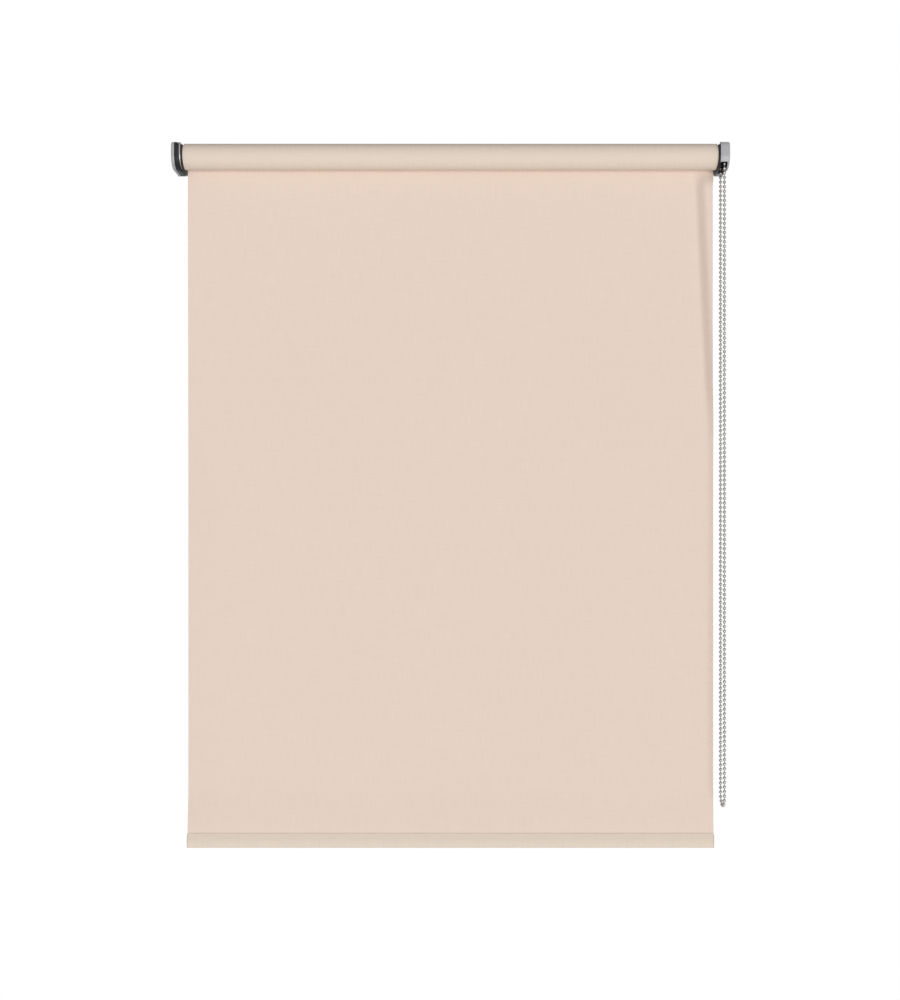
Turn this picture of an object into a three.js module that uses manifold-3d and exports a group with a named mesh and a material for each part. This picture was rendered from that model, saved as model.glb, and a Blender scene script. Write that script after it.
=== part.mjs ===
// Blackout roller blind with a bead chain, fully lowered. Millimetres.
// X runs along the roller, Y into the wall and Z up. The origin is on the wall, behind the
// middle of the roller, at the height of the roller's axis. The room is on the -Y side.
import * as THREE from 'three';
import { mergeVertices } from 'three/addons/utils/BufferGeometryUtils.js';
import Module from 'manifold-3d';

const wasm = await Module();
wasm.setup();

// Whole blind
const fabricWidth = 700;
const dropLength = 915.7; // roller axis down to the bottom edge of the hem
const axisFromWall = 23;
const seatGap = 0.3; // clearance wherever two pieces meet
const cutOverrun = 2; // how far a cutting shape reaches past what it cuts
const roundSteps = 28; // flats round a full turn of a large round
const smallRoundSteps = 10; // flats round a full turn of a small round
const cornerSteps = 4; // flats in a rounded corner
const ovalSteps = 16; // flats round the hem's oval

// Roller tube and what is wound on it
const tubeDiameter = 32;
const tubeWall = 1.2;
const tubeShortfall = 2.5; // the tube stops this far inside each edge of the fabric
const fabricThickness = 0.42;
const fabricTurns = 2.25; // turns left on the tube when the blind is down
const grooveMouth = 2; // width of the slot that the spline is slid into
const grooveWidth = 3.8;
const grooveLip = 0.9;
const grooveDepth = 2.6;
const grooveWall = 1.1;
const keyWidth = 2; // keys inside the tube that stop the end plugs from turning
const keyHeight = 1.5;
const plugRootWall = 1.6; // thickness of a plug's wall between its ribs
const ribWidth = 1.6;
const ribPositions = 12; // every fourth one is left free for the groove and the keys

// End brackets
const endClearance = 0.3; // fabric edge to the end plate
const endPlateThickness = 1.5;
const endPlateInset = 0.4; // how far the plate stays inside the bracket's outline
const endPlateTopStep = 3; // bracket's top down to the plate's top
const footHeight = 1.6; // foot of the end plate, under the bracket's side plate
const footFront = 24; // from the wall to the foot's front end
const footBack = 3;
const bracketSheet = 1.5;
const bracketTop = 15.6; // above the roller's axis
const bracketDrop = 19.5; // below the roller's axis
const frontTopRadius = 7;
const frontBottomRadius = 17;
const screwHoleDiameter = 4.2;
const screwHoleMargin = 9; // from the flange's ends to the screw holes
const bossDiameter = 18; // boss of an end plate, seated in the bracket's round hole
const pegDiameter = 4; // pegs that stop the end plate from turning
const pegRadius = 14.5; // from the roller's axis to each peg

// Covers
const coverWidth = 10.3;
const coverWall = 1.8;
const strandFrontRoom = 5.49; // front strand's beads to the cover's front wall
const capRim = 4.2; // width of the silver cap on the idler side, with the rest as black frame
const frameChamfer = 4; // on the frame's top corner, towards the bracket
const windowDrop = 11; // axis down to the top of the chain's window
const windowBack = 3.2; // clearance behind the rear strand
const windowEdge = 0.8; // strip left between the window and the cover's outer wall

// Bead chain and its wheel
const beadPitch = 6;
const beadDiameter = 4.5;
const beadCount = 293;
const linkDiameter = 1.2;
const beadFacets = 5;
const beadShoulderShare = 0.91; // radius of the two shoulder rings over the bead's radius
const shoulderPlaceShare = 0.49; // their distance from the bead's middle over its radius
const wheelPockets = 12;
const pocketClearance = 0.6;
const pocketFacets = 6;
const pocketBands = 4;
const wheelWidth = 6.6;
const wheelClearance = 1.6;
const wheelRimRise = 0.6; // rim above the chain's pitch line
const linkGrooveWidth = 3;
const linkGrooveFloor = 2.4; // width of the groove at its floor
const hollowWall = 3.4; // rim and boss left round the recess in the wheel's outer face
const hollowDepth = 1.6;
const wheelBossDiameter = 13;
const loopBottomHeight = 14; // height of the curved stretch at the bottom of the loop
const guideClearance = 0.8;
const guideWidth = 3.3;

// Clutch
const sleeveDiameter = 13.6; // fixed sleeve that the wrap springs grip
const sleeveLength = 34.5;
const shaftDiameter = 9.8; // hollow of the sleeve holds the chain wheel's shaft
const shaftReach = 3.6; // the shaft's end past the sleeve
const wrapWire = 1.2;
const wrapPitch = 1.7;
const wrapTurns = 5;
const wrapMargin = 1.5;
const wrapSpacing = 4;
const coilSteps = 8;
const wireSides = 5;
const driverThickness = 2.5;
const driverDiameter = 22;
const driverHole = 3.4;
const fingerHalfTurn = Math.PI / 10;
const fingerEndMargin = 6;
const lugHalfTurn = Math.PI / 22;
const crownTail = 5.6; // crown past the driver
const plugFlangeThickness = 2.4;
const screwShank = 2.4;
const screwHeadDiameter = 6;
const screwHeadHeight = 2;
const screwLength = 12;

// Idler plug with its sprung pin
const pinDiameter = 6;
const pinReach = 5.5; // the pin's tip past the end plate's inner face
const pinPoint = 1; // chamfer on the pin's tip
const pinHeadDiameter = 9.2;
const pinHeadThickness = 3;
const pinTailDiameter = 5.2;
const pinTailLength = 6.5;
const pinSpringWire = 0.8;
const pinSpringDiameter = 7.8; // to the middle of the wire
const pinSpringTurns = 7;
const plugBore = 9.8;
const plugLength = 38;
const plugEndWall = 2;
const plugVent = 3;

// Hanging fabric
const curlInset = 17.5; // right edge to the middle of its forward bend, at the roll
const curlWidth = 18;
const curlDepth = 4; // how far the bend brings the edge forward
const curlStart = 12; // below the axis
const curlRise = 25; // height over which the bend reaches its depth
const curlEnd = 700; // below the axis, where the bend has run out past the edge
const panelRows = 15;
const curlColumns = 6;

// Hem and bottom bar
const hemHeight = 20;
const barHeight = 17;
const barThickness = 5.5;
const barWall = 0.9;
const capThickness = 0.5;
const capPlugLength = 12;

// Places worked out from those sizes
const rollerY = -axisFromWall;
const fabricEdge = fabricWidth / 2;
const tubeRadius = tubeDiameter / 2;
const tubeBore = tubeRadius - tubeWall;
const tubeEnd = fabricEdge - tubeShortfall;
const rollRadius = tubeRadius + fabricTurns * fabricThickness;
const plateInner = fabricEdge + endClearance;
const plateOuter = plateInner + endPlateThickness;
const bracketInner = plateOuter + seatGap;
const bracketOuter = bracketInner + bracketSheet;
const coverInner = bracketOuter + seatGap;
const coverOuter = coverInner + coverWidth;
const coverFace = coverOuter - coverWall;
const flangeOuter = coverFace - seatGap;
const flangeMiddle = (bracketOuter + flangeOuter) / 2;
const wheelInner = bracketOuter + wheelClearance;
const wheelOuter = wheelInner + wheelWidth;
const chainPlane = (wheelInner + wheelOuter) / 2;
const pitchRadius = (beadPitch * wheelPockets) / (2 * Math.PI);
const beadRadius = beadDiameter / 2;
const bracketProjection = axisFromWall + pitchRadius + beadRadius + strandFrontRoom + coverWall;
const sleeveRadius = sleeveDiameter / 2;
const sleeveEnd = plateInner - sleeveLength;
const shaftRadius = shaftDiameter / 2;
const shaftEnd = sleeveEnd - shaftReach;
const driverOuter = shaftEnd - seatGap;
const driverInner = driverOuter - driverThickness;
const crownEnd = driverInner - crownTail;
const plugFlangeOuter = plateInner - seatGap;
const plugFlangeInner = plugFlangeOuter - plugFlangeThickness;
const plugRadius = tubeBore - seatGap;
const plugFlangeRadius = tubeRadius - seatGap;
const bossInnerRadius = tubeRadius - grooveDepth - grooveWall;
const plugRoot = tubeBore - keyHeight - seatGap;
const plugNotch = bossInnerRadius - seatGap;
const grooveTurn = Math.PI / 2;
const panelY = rollerY + rollRadius - fabricThickness / 2;

// A side-view outline is drawn in Y and Z, and its thickness runs along X
const sideView = new THREE.Matrix4().makeBasis(
  new THREE.Vector3(0, 1, 0),
  new THREE.Vector3(0, 0, 1),
  new THREE.Vector3(1, 0, 0),
);

// Two distances from the blind's middle as places along X on one side of it, lower one first
function sideSpan(side, from, to) {
  return [side * from, side * to].sort((a, b) => a - b);
}

function slab(shape, fromX, toX) {
  const [low, high] = sideSpan(1, fromX, toX);
  const settings = { depth: high - low, bevelEnabled: false, curveSegments: cornerSteps };
  const geometry = new THREE.ExtrudeGeometry(shape, settings);
  geometry.applyMatrix4(sideView);
  return geometry.translate(low, 0, 0);
}

// A profile of [radius, X] pairs turned about the roller's axis. The outer wall runs towards
// +X, so that the faces point outwards.
function turned(profile, steps) {
  const points = profile.map(([radius, x]) => new THREE.Vector2(radius, x));
  return new THREE.LatheGeometry(points, steps).rotateZ(-Math.PI / 2);
}

function ringProfile(innerRadius, outerRadius, fromX, toX) {
  return [
    [innerRadius, fromX],
    [outerRadius, fromX],
    [outerRadius, toX],
    [innerRadius, toX],
    [innerRadius, fromX],
  ];
}

function rodProfile(radius, fromX, toX) {
  return [
    [0, fromX],
    [radius, fromX],
    [radius, toX],
    [0, toX],
  ];
}

function block(low, high) {
  const size = high.map((value, index) => value - low[index]);
  const middle = high.map((value, index) => (value + low[index]) / 2);
  return new THREE.BoxGeometry(...size).translate(...middle);
}

function toSolid(geometry) {
  const bare = geometry.clone();
  bare.deleteAttribute('normal');
  bare.deleteAttribute('uv');
  const merged = mergeVertices(bare);
  const corners = merged.index.array;
  const kept = [];
  for (let i = 0; i < corners.length; i += 3) {
    const [a, b, c] = [corners[i], corners[i + 1], corners[i + 2]];
    if (a !== b && b !== c && c !== a) kept.push(a, b, c);
  }
  return new wasm.Manifold(
    new wasm.Mesh({
      numProp: 3,
      vertProperties: new Float32Array(merged.attributes.position.array),
      triVerts: new Uint32Array(kept),
    }),
  );
}

function toGeometry(solid) {
  const mesh = solid.getMesh();
  const geometry = new THREE.BufferGeometry();
  geometry.setAttribute('position', new THREE.BufferAttribute(mesh.vertProperties, 3));
  geometry.setIndex(new THREE.BufferAttribute(mesh.triVerts, 1));
  return geometry;
}

function joined(...geometries) {
  const solids = geometries.map(toSolid);
  return toGeometry(solids.reduce((whole, piece) => whole.add(piece)));
}

function cut(geometry, ...tools) {
  const start = toSolid(geometry);
  return toGeometry(tools.map(toSolid).reduce((whole, tool) => whole.subtract(tool), start));
}

// A closed or open tube through stations of {x, y, z, radius}, with one cross direction
// always along X, which suits a path that stays nearly square to the roller's axis
function sweptTube(stations, sides, isClosed) {
  const count = stations.length;
  const places = stations.map(({ x, y, z }) => new THREE.Vector3(x, y, z));
  const alongAxis = new THREE.Vector3(1, 0, 0);
  const positions = [];
  const index = [];
  for (let i = 0; i < count; i += 1) {
    const before = isClosed ? (i + count - 1) % count : Math.max(i - 1, 0);
    const after = isClosed ? (i + 1) % count : Math.min(i + 1, count - 1);
    const tangent = places[after].clone().sub(places[before]).normalize();
    const across = tangent.cross(alongAxis).normalize();
    for (let side = 0; side < sides; side += 1) {
      const turn = (2 * Math.PI * side) / sides;
      const point = places[i]
        .clone()
        .addScaledVector(alongAxis, stations[i].radius * Math.cos(turn))
        .addScaledVector(across, stations[i].radius * Math.sin(turn));
      positions.push(point.x, point.y, point.z);
    }
  }
  const lastRing = isClosed ? count : count - 1;
  for (let i = 0; i < lastRing; i += 1) {
    const here = i * sides;
    const next = ((i + 1) % count) * sides;
    for (let side = 0; side < sides; side += 1) {
      const other = (side + 1) % sides;
      index.push(here + side, here + other, next + side);
      index.push(here + other, next + other, next + side);
    }
  }
  if (!isClosed) {
    const end = (count - 1) * sides;
    for (let side = 1; side < sides - 1; side += 1) {
      index.push(0, side + 1, side);
      index.push(end, end + side, end + side + 1);
    }
  }
  const geometry = new THREE.BufferGeometry();
  geometry.setAttribute('position', new THREE.Float32BufferAttribute(positions, 3));
  geometry.setIndex(index);
  return geometry;
}

// A circle of points, broken by features. Each feature has the turn at which it stands and
// steps of [half width, distance from the centre], walked inwards or outwards and back.
function featuredCircle(radius, features, fullSteps) {
  const points = [];
  const addArc = (from, to, isWhole) => {
    const steps = Math.max(1, Math.round(((to - from) / (2 * Math.PI)) * fullSteps));
    for (let i = isWhole ? 0 : 1; i < steps; i += 1) {
      const turn = from + ((to - from) * i) / steps;
      points.push(new THREE.Vector2(radius * Math.cos(turn), radius * Math.sin(turn)));
    }
  };
  if (features.length === 0) addArc(0, 2 * Math.PI, true);
  features.forEach((feature, place) => {
    const outward = new THREE.Vector2(Math.cos(feature.turn), Math.sin(feature.turn));
    const sideways = new THREE.Vector2(-outward.y, outward.x);
    const foot = feature.steps[0][0];
    const walk = [[foot, Math.sqrt(radius * radius - foot * foot)], ...feature.steps];
    const addPoint = (offset, reach) => {
      points.push(outward.clone().multiplyScalar(reach).addScaledVector(sideways, offset));
    };
    walk.forEach(([offset, reach]) => addPoint(-offset, reach));
    walk.reverse().forEach(([offset, reach]) => addPoint(offset, reach));
    const follower = features[(place + 1) % features.length];
    const fullTurn = place + 1 < features.length ? 0 : 2 * Math.PI;
    const start = feature.turn + Math.asin(foot / radius);
    const end = follower.turn + fullTurn - Math.asin(follower.steps[0][0] / radius);
    addArc(start, end, false);
  });
  return points;
}

function withHole(outline, hole) {
  const shape = new THREE.Shape(outline);
  shape.holes.push(new THREE.Path(hole));
  return shape;
}

// Edges of the covers' end view, which stop in front of the bracket's wall flange
const coverEdges = {
  back: -(bracketSheet + seatGap),
  front: -bracketProjection,
  top: bracketTop,
  bottom: -bracketDrop,
  topRadius: frontTopRadius,
  bottomRadius: frontBottomRadius,
};

// The same end view drawn in by an inset, with any of its edges set otherwise
function insetEdges(inset, changes) {
  return {
    back: coverEdges.back - inset,
    front: coverEdges.front + inset,
    top: coverEdges.top - inset,
    bottom: coverEdges.bottom + inset,
    topRadius: coverEdges.topRadius - inset,
    bottomRadius: coverEdges.bottomRadius - inset,
    ...changes,
  };
}

function endOutline({ back, front, top, bottom, topRadius, bottomRadius }) {
  const shape = new THREE.Shape();
  shape.moveTo(back, bottom);
  shape.lineTo(back, top);
  shape.lineTo(front + topRadius, top);
  shape.absarc(front + topRadius, top - topRadius, topRadius, Math.PI / 2, Math.PI, false);
  shape.lineTo(front, bottom + bottomRadius);
  shape.absarc(
    front + bottomRadius,
    bottom + bottomRadius,
    bottomRadius,
    Math.PI,
    (3 * Math.PI) / 2,
    false,
  );
  shape.closePath();
  return shape;
}

// Points of an upright oval, centred on Y = 0 and reaching from bottom to top
function uprightOval(thickness, bottom, top) {
  const points = [];
  for (let step = 0; step < ovalSteps; step += 1) {
    const turn = (2 * Math.PI * step) / ovalSteps;
    const height = (top + bottom) / 2 + ((top - bottom) / 2) * Math.sin(turn);
    points.push(new THREE.Vector2((thickness / 2) * Math.cos(turn), height));
  }
  return points;
}

function roundBar(radius, fromX, toX, y, z, steps) {
  return turned(rodProfile(radius, fromX, toX), steps).translate(0, y, z);
}

function pegPlaces() {
  const reach = pegRadius * Math.SQRT1_2;
  return [
    [rollerY - reach, reach],
    [rollerY + reach, -reach],
  ];
}

function finish(color, roughness, metalness) {
  return new THREE.MeshStandardMaterial({ color, roughness, metalness });
}

// Finishes, matched to the photograph
const finishes = {
  fabric: finish(0xe6d5c7, 0.92, 0),
  silverPlastic: finish(0xb0b0b3, 0.42, 0),
  blackPlastic: finish(0x2b2a2e, 0.5, 0),
  zincSteel: finish(0xb4b5b8, 0.42, 1),
  aluminium: finish(0xcdced1, 0.35, 1),
  nickel: finish(0xa4a3a1, 0.28, 1),
  springSteel: finish(0x85868a, 0.35, 1),
  greyPlastic: finish(0x9a9b9d, 0.5, 0),
};

const blind = new THREE.Group();
const rollerGroup = new THREE.Group();
rollerGroup.position.set(0, rollerY, 0);
const hemGroup = new THREE.Group();
hemGroup.position.set(0, panelY, -dropLength);
blind.add(rollerGroup, hemGroup);

function addPiece(group, name, geometry, material) {
  const mesh = new THREE.Mesh(geometry, material);
  mesh.name = name;
  group.add(mesh);
}

// The side plate's lower edge runs over the end plate's foot. On the idler side its front
// edge is open to view. On the control side it lies inside the cover, and one large curve
// keeps it clear of the chain's window.
const sidePlateBottom = -bracketDrop + footHeight + seatGap;

function sidePlateEdges(side) {
  if (side < 0) return insetEdges(0, { back: 0, bottom: sidePlateBottom });
  const covered = insetEdges(coverWall + seatGap, { back: 0, bottom: sidePlateBottom });
  return { ...covered, bottomRadius: covered.top - covered.topRadius - sidePlateBottom };
}

// Steel bracket: a side plate with the wall flange and the ceiling flange bent outwards, and
// holes for the end plate's boss and pegs and for screws
function makeBracket(side) {
  const flangeFront = -bracketProjection + frontTopRadius + seatGap;
  const [plateLow, plateHigh] = sideSpan(side, bracketInner, bracketOuter);
  const [wallLow, wallHigh] = sideSpan(side, bracketInner, coverOuter);
  const [ceilingLow, ceilingHigh] = sideSpan(side, bracketInner, flangeOuter);
  const sidePlate = slab(endOutline(sidePlateEdges(side)), plateLow, plateHigh);
  const shoulder = block([plateLow, flangeFront, 0], [plateHigh, 0, bracketTop]);
  const wallFlange = block([wallLow, -bracketSheet, -bracketDrop], [wallHigh, 0, bracketTop]);
  const ceilingFlange = block(
    [ceilingLow, flangeFront, bracketTop - bracketSheet],
    [ceilingHigh, 0, bracketTop],
  );
  const holes = [];
  const [holeLow, holeHigh] = sideSpan(side, bracketInner - cutOverrun, bracketOuter + cutOverrun);
  holes.push(roundBar(bossDiameter / 2 + seatGap, holeLow, holeHigh, rollerY, 0, roundSteps));
  pegPlaces().forEach(([y, z]) => {
    holes.push(roundBar(pegDiameter / 2 + seatGap, holeLow, holeHigh, y, z, smallRoundSteps));
  });
  const holeRadius = screwHoleDiameter / 2;
  const drillLength = bracketSheet + 2 * cutOverrun;
  const drill = () =>
    new THREE.CylinderGeometry(holeRadius, holeRadius, drillLength, smallRoundSteps);
  [sidePlateBottom + screwHoleMargin, bracketTop - screwHoleMargin].forEach((z) => {
    holes.push(drill().translate(side * flangeMiddle, -bracketSheet / 2, z));
  });
  [flangeFront + screwHoleMargin, -screwHoleMargin].forEach((y) => {
    const upright = drill().rotateX(Math.PI / 2);
    holes.push(upright.translate(side * flangeMiddle, y, bracketTop - bracketSheet / 2));
  });
  return cut(joined(sidePlate, shoulder, wallFlange, ceilingFlange), ...holes);
}

// Black end plate with a boss and two pegs that seat in the bracket, and a foot below the
// bracket's side plate, bored through
function makeEndPlate(side, boreRadius, sleeve) {
  const [plateLow, plateHigh] = sideSpan(side, plateInner, plateOuter);
  const [bossLow, bossHigh] = sideSpan(side, plateInner + seatGap, bracketOuter);
  const plateBottom = -bracketDrop + endPlateInset;
  const edges = insetEdges(endPlateInset, {
    back: -endPlateInset,
    top: bracketTop - endPlateTopStep,
  });
  const parts = [
    slab(endOutline(edges), plateLow, plateHigh),
    roundBar(bossDiameter / 2, bossLow, bossHigh, rollerY, 0, roundSteps),
    block([bossLow, -footFront, plateBottom], [bossHigh, -footBack, -bracketDrop + footHeight]),
  ];
  pegPlaces().forEach(([y, z]) => {
    parts.push(roundBar(pegDiameter / 2, bossLow, bossHigh, y, z, smallRoundSteps));
  });
  if (sleeve) parts.push(sleeve);
  const [boreLow, boreHigh] = sideSpan(side, sleeveEnd - cutOverrun, bracketOuter + cutOverrun);
  return cut(joined(...parts), roundBar(boreRadius, boreLow, boreHigh, rollerY, 0, roundSteps));
}

// Shell of a cover, with its rounded top front corner, front and bottom walls, open towards
// the bracket and behind
function makeShellBand(side, fromX, toX, cavityFrom, cavityTo) {
  const bandTop = -bracketProjection + frontTopRadius;
  const [low, high] = sideSpan(side, cavityFrom, cavityTo);
  const hollow = slab(endOutline(insetEdges(coverWall, {})), low, high);
  const openBack = block(
    [low, -bracketProjection + frontBottomRadius, -bracketDrop + coverWall],
    [high, cutOverrun, 0],
  );
  const openTop = block([low, bandTop, -coverWall], [high, cutOverrun, bracketTop + cutOverrun]);
  const whole = slab(endOutline(coverEdges), side * fromX, side * toX);
  return cut(whole, hollow, openBack, openTop);
}

function makeIdlerFrame() {
  const frameOuter = coverOuter - capRim - seatGap;
  const [low, high] = [coverInner - cutOverrun, frameOuter + cutOverrun];
  const band = makeShellBand(-1, coverInner, frameOuter, low, high);
  const toolSide = frameChamfer * Math.SQRT2;
  const tool = new THREE.BoxGeometry(toolSide, 2 * bracketProjection, toolSide);
  tool.rotateY(Math.PI / 4).translate(-coverInner, -bracketProjection, bracketTop);
  return cut(band, tool);
}

function makeIdlerCap() {
  const rimStart = coverOuter - capRim;
  return makeShellBand(-1, rimStart, coverOuter, rimStart - cutOverrun, coverFace);
}

// The control side's cover also reaches in front of its bracket's edge. It is open to both
// strands at the front and bottom, and clears the end plate's foot.
function makeControlCover() {
  const rearStrand = rollerY + pitchRadius;
  const lip = bracketInner;
  const shell = makeShellBand(1, lip, coverOuter, lip - cutOverrun, coverFace);
  const below = -bracketDrop - cutOverrun;
  const chainWindow = block(
    [lip - cutOverrun, -bracketProjection - cutOverrun, below],
    [coverFace - windowEdge, rearStrand + windowBack, -windowDrop],
  );
  const footRoom = block(
    [lip - cutOverrun, rearStrand, below],
    [coverInner, cutOverrun, -bracketDrop + coverWall + seatGap],
  );
  return cut(shell, chainWindow, footRoom);
}

// Black block beside the window, which keeps the front strand clear of the rear one below
// the wheel and is hollowed to clear its rim
function makeChainGuide() {
  const halfWidth = pitchRadius - beadRadius - guideClearance;
  const rimRadius = pitchRadius + wheelRimRise + guideClearance;
  const rimTurn = Math.asin(halfWidth / rimRadius);
  const guideOuter = coverFace - windowEdge - seatGap;
  const shape = new THREE.Shape();
  shape.moveTo(rollerY - halfWidth, -bracketDrop);
  shape.lineTo(rollerY, -bracketDrop);
  shape.lineTo(rollerY, -rimRadius);
  shape.absarc(rollerY, 0, rimRadius, -Math.PI / 2, -Math.PI / 2 - rimTurn, true);
  shape.closePath();
  return slab(shape, guideOuter - guideWidth, guideOuter);
}

// Fixed sleeve of the clutch, carried by the control side's end plate
function makeClutchSleeve() {
  const sleeve = rodProfile(sleeveRadius, sleeveEnd, plateInner + seatGap);
  return turned(sleeve, roundSteps).translate(0, rollerY, 0);
}

// Path of the chain, over the wheel and down in a loop. The distance along it starts at the
// top of the wheel and runs down the front strand first.
const bottomCurve = new THREE.EllipseCurve(0, 0, pitchRadius, loopBottomHeight, Math.PI, 2 * Math.PI);
const bottomLength = bottomCurve.getLength();
const chainLength = beadPitch * beadCount;
const quarterWrap = (pitchRadius * Math.PI) / 2;
const strandLength = (chainLength - 2 * quarterWrap - bottomLength) / 2;

function chainPoint(distance) {
  const travelled = ((distance % chainLength) + chainLength) % chainLength;
  const fromTop = travelled > chainLength / 2 ? travelled - chainLength : travelled;
  const rearStart = quarterWrap + strandLength + bottomLength;
  if (Math.abs(fromTop) < quarterWrap) {
    const turn = fromTop / pitchRadius;
    return [-pitchRadius * Math.sin(turn), pitchRadius * Math.cos(turn)];
  }
  if (travelled < quarterWrap + strandLength) return [-pitchRadius, quarterWrap - travelled];
  if (travelled < rearStart) {
    const share = (travelled - quarterWrap - strandLength) / bottomLength;
    const point = bottomCurve.getPointAt(share);
    return [point.x, point.y - strandLength];
  }
  return [pitchRadius, travelled - rearStart - strandLength];
}

// A stretch of beads joined by short links: two shoulder rings a bead and one ring a link
function makeBeads(firstBead, lastBead) {
  const stations = [];
  const addStation = (distance, radius) => {
    const [y, z] = chainPoint(distance);
    stations.push({ x: chainPlane, y: rollerY + y, z, radius });
  };
  const shoulder = shoulderPlaceShare * beadRadius;
  const linkRadius = linkDiameter / 2;
  addStation((firstBead - 1 / 2) * beadPitch + seatGap / 2, linkRadius);
  for (let bead = firstBead; bead <= lastBead; bead += 1) {
    const middle = bead * beadPitch;
    addStation(middle - shoulder, beadShoulderShare * beadRadius);
    addStation(middle + shoulder, beadShoulderShare * beadRadius);
    if (bead < lastBead) addStation(middle + beadPitch / 2, linkRadius);
  }
  addStation((lastBead + 1 / 2) * beadPitch - seatGap / 2, linkRadius);
  return sweptTube(stations, beadFacets, false);
}

// Chain wheel: a rim with a round pocket for each bead and a groove for the links, and the
// shaft that runs through the fixed sleeve, with a pilot hole for the driver's screw
function makeChainWheel() {
  const rimRadius = pitchRadius + wheelRimRise;
  const grooveRadius = pitchRadius - linkDiameter;
  const hollowOuter = rimRadius - hollowWall;
  const bossRadius = wheelBossDiameter / 2;
  const pilotRadius = screwShank / 2 + seatGap;
  const pilotEnd = shaftEnd + screwLength;
  const body = turned(
    [
      [0, pilotEnd],
      [pilotRadius, pilotEnd],
      [pilotRadius, shaftEnd],
      [shaftRadius, shaftEnd],
      [shaftRadius, wheelInner],
      [rimRadius, wheelInner],
      [rimRadius, chainPlane - linkGrooveWidth / 2],
      [grooveRadius, chainPlane - linkGrooveFloor / 2],
      [grooveRadius, chainPlane + linkGrooveFloor / 2],
      [rimRadius, chainPlane + linkGrooveWidth / 2],
      [rimRadius, wheelOuter],
      [hollowOuter, wheelOuter],
      [hollowOuter, wheelOuter - hollowDepth],
      [bossRadius, wheelOuter - hollowDepth],
      [bossRadius, flangeOuter],
      [0, flangeOuter],
    ],
    2 * wheelPockets,
  );
  const pockets = [];
  for (let pocket = 0; pocket < wheelPockets; pocket += 1) {
    const turn = (2 * Math.PI * pocket) / wheelPockets;
    const ball = new THREE.SphereGeometry(beadRadius + pocketClearance, pocketFacets, pocketBands);
    ball.rotateZ(Math.PI / 2);
    pockets.push(ball.translate(chainPlane, pitchRadius * Math.sin(turn), pitchRadius * Math.cos(turn)));
  }
  return cut(body, ...pockets);
}

// Ribbed outline of an end plug, notched where the tube's spline groove bulges inwards and
// left plain at the tube's two keys
function plugOutline() {
  const features = [];
  const spacing = (2 * Math.PI) / ribPositions;
  const rib = [[ribWidth / 2, plugRadius]];
  const notch = [[grooveWidth / 2 + grooveWall + seatGap, plugNotch]];
  for (let place = 0; place < ribPositions; place += 1) {
    const turn = place * spacing;
    const isFree = place % 4 === 3;
    if (!isFree) features.push({ turn, steps: rib });
    if (Math.abs(turn - grooveTurn) < spacing / 2) features.push({ turn, steps: notch });
  }
  return featuredCircle(plugRoot, features, roundSteps);
}

function circlePoints(radius, steps) {
  return featuredCircle(radius, [], steps);
}

// Output of the clutch: flange on the fixed sleeve, ribbed body in the tube, and two lugs
// inside that the wrap springs' tangs lock against
const crownBore = plugNotch - plugRootWall / 2;
const chordShare = Math.cos(Math.PI / coilSteps); // a chord's middle over its ends' radius
const wrapRadius = (sleeveRadius + seatGap + wrapWire / 2) / chordShare;
const fingerInner = wrapRadius + wrapWire / 2 + seatGap;
const fingerOuter = crownBore - seatGap;
const tangTurn = fingerHalfTurn + Math.asin((wrapWire / 2 + seatGap) / fingerInner);
const lugTurn = tangTurn + (tangTurn - fingerHalfTurn) + lugHalfTurn;

function sectorShape(innerRadius, outerRadius, middleTurn, halfTurn) {
  const shape = new THREE.Shape();
  shape.absarc(0, 0, outerRadius, middleTurn - halfTurn, middleTurn + halfTurn, false);
  shape.absarc(0, 0, innerRadius, middleTurn + halfTurn, middleTurn - halfTurn, true);
  shape.closePath();
  return shape;
}

function makeDriveCrown() {
  const sleeveClear = sleeveRadius + seatGap;
  const embed = plugRootWall / 4;
  const flange = turned(
    ringProfile(sleeveClear, plugFlangeRadius, plugFlangeInner - embed, plugFlangeOuter),
    roundSteps,
  );
  const body = slab(
    withHole(plugOutline(), circlePoints(crownBore, roundSteps)),
    crownEnd,
    plugFlangeInner,
  );
  const trimmed = cut(
    flange,
    turned(
      ringProfile(plugNotch, plugFlangeRadius + cutOverrun, plugFlangeInner - cutOverrun, plugFlangeInner),
      roundSteps,
    ),
  );
  const lugs = [-lugTurn, lugTurn].map((turn) =>
    slab(sectorShape(fingerInner, crownBore + embed, turn, lugHalfTurn), sleeveEnd, plugFlangeInner),
  );
  return joined(body, trimmed, ...lugs);
}

// Helical wire round the roller's axis, with its two ends bent outwards as tangs
function makeWrapSpring(startX) {
  const stations = [];
  const sweep = 2 * Math.PI * wrapTurns - 2 * tangTurn;
  const steps = wrapTurns * coilSteps;
  const addStation = (share, radius) => {
    const turn = tangTurn + sweep * share;
    const x = startX + wrapPitch * wrapTurns * share;
    stations.push({ x, y: radius * Math.cos(turn), z: radius * Math.sin(turn), radius: wrapWire / 2 });
  };
  addStation(0, fingerOuter);
  for (let step = 0; step <= steps; step += 1) addStation(step / steps, wrapRadius);
  addStation(1, fingerOuter);
  return sweptTube(stations, wireSides, false);
}

// Disc screwed to the shaft's end, with the finger that reaches between the springs' tangs
function makeSpringDriver() {
  const disc = turned(
    ringProfile(driverHole / 2, Math.min(driverDiameter / 2, fingerOuter), driverInner, driverOuter),
    roundSteps,
  );
  const fingerEnd = plateInner - fingerEndMargin;
  const finger = slab(
    sectorShape(fingerInner, Math.min(driverDiameter / 2, fingerOuter), 0, fingerHalfTurn),
    (driverInner + driverOuter) / 2,
    fingerEnd,
  );
  return joined(disc, finger);
}

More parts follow.
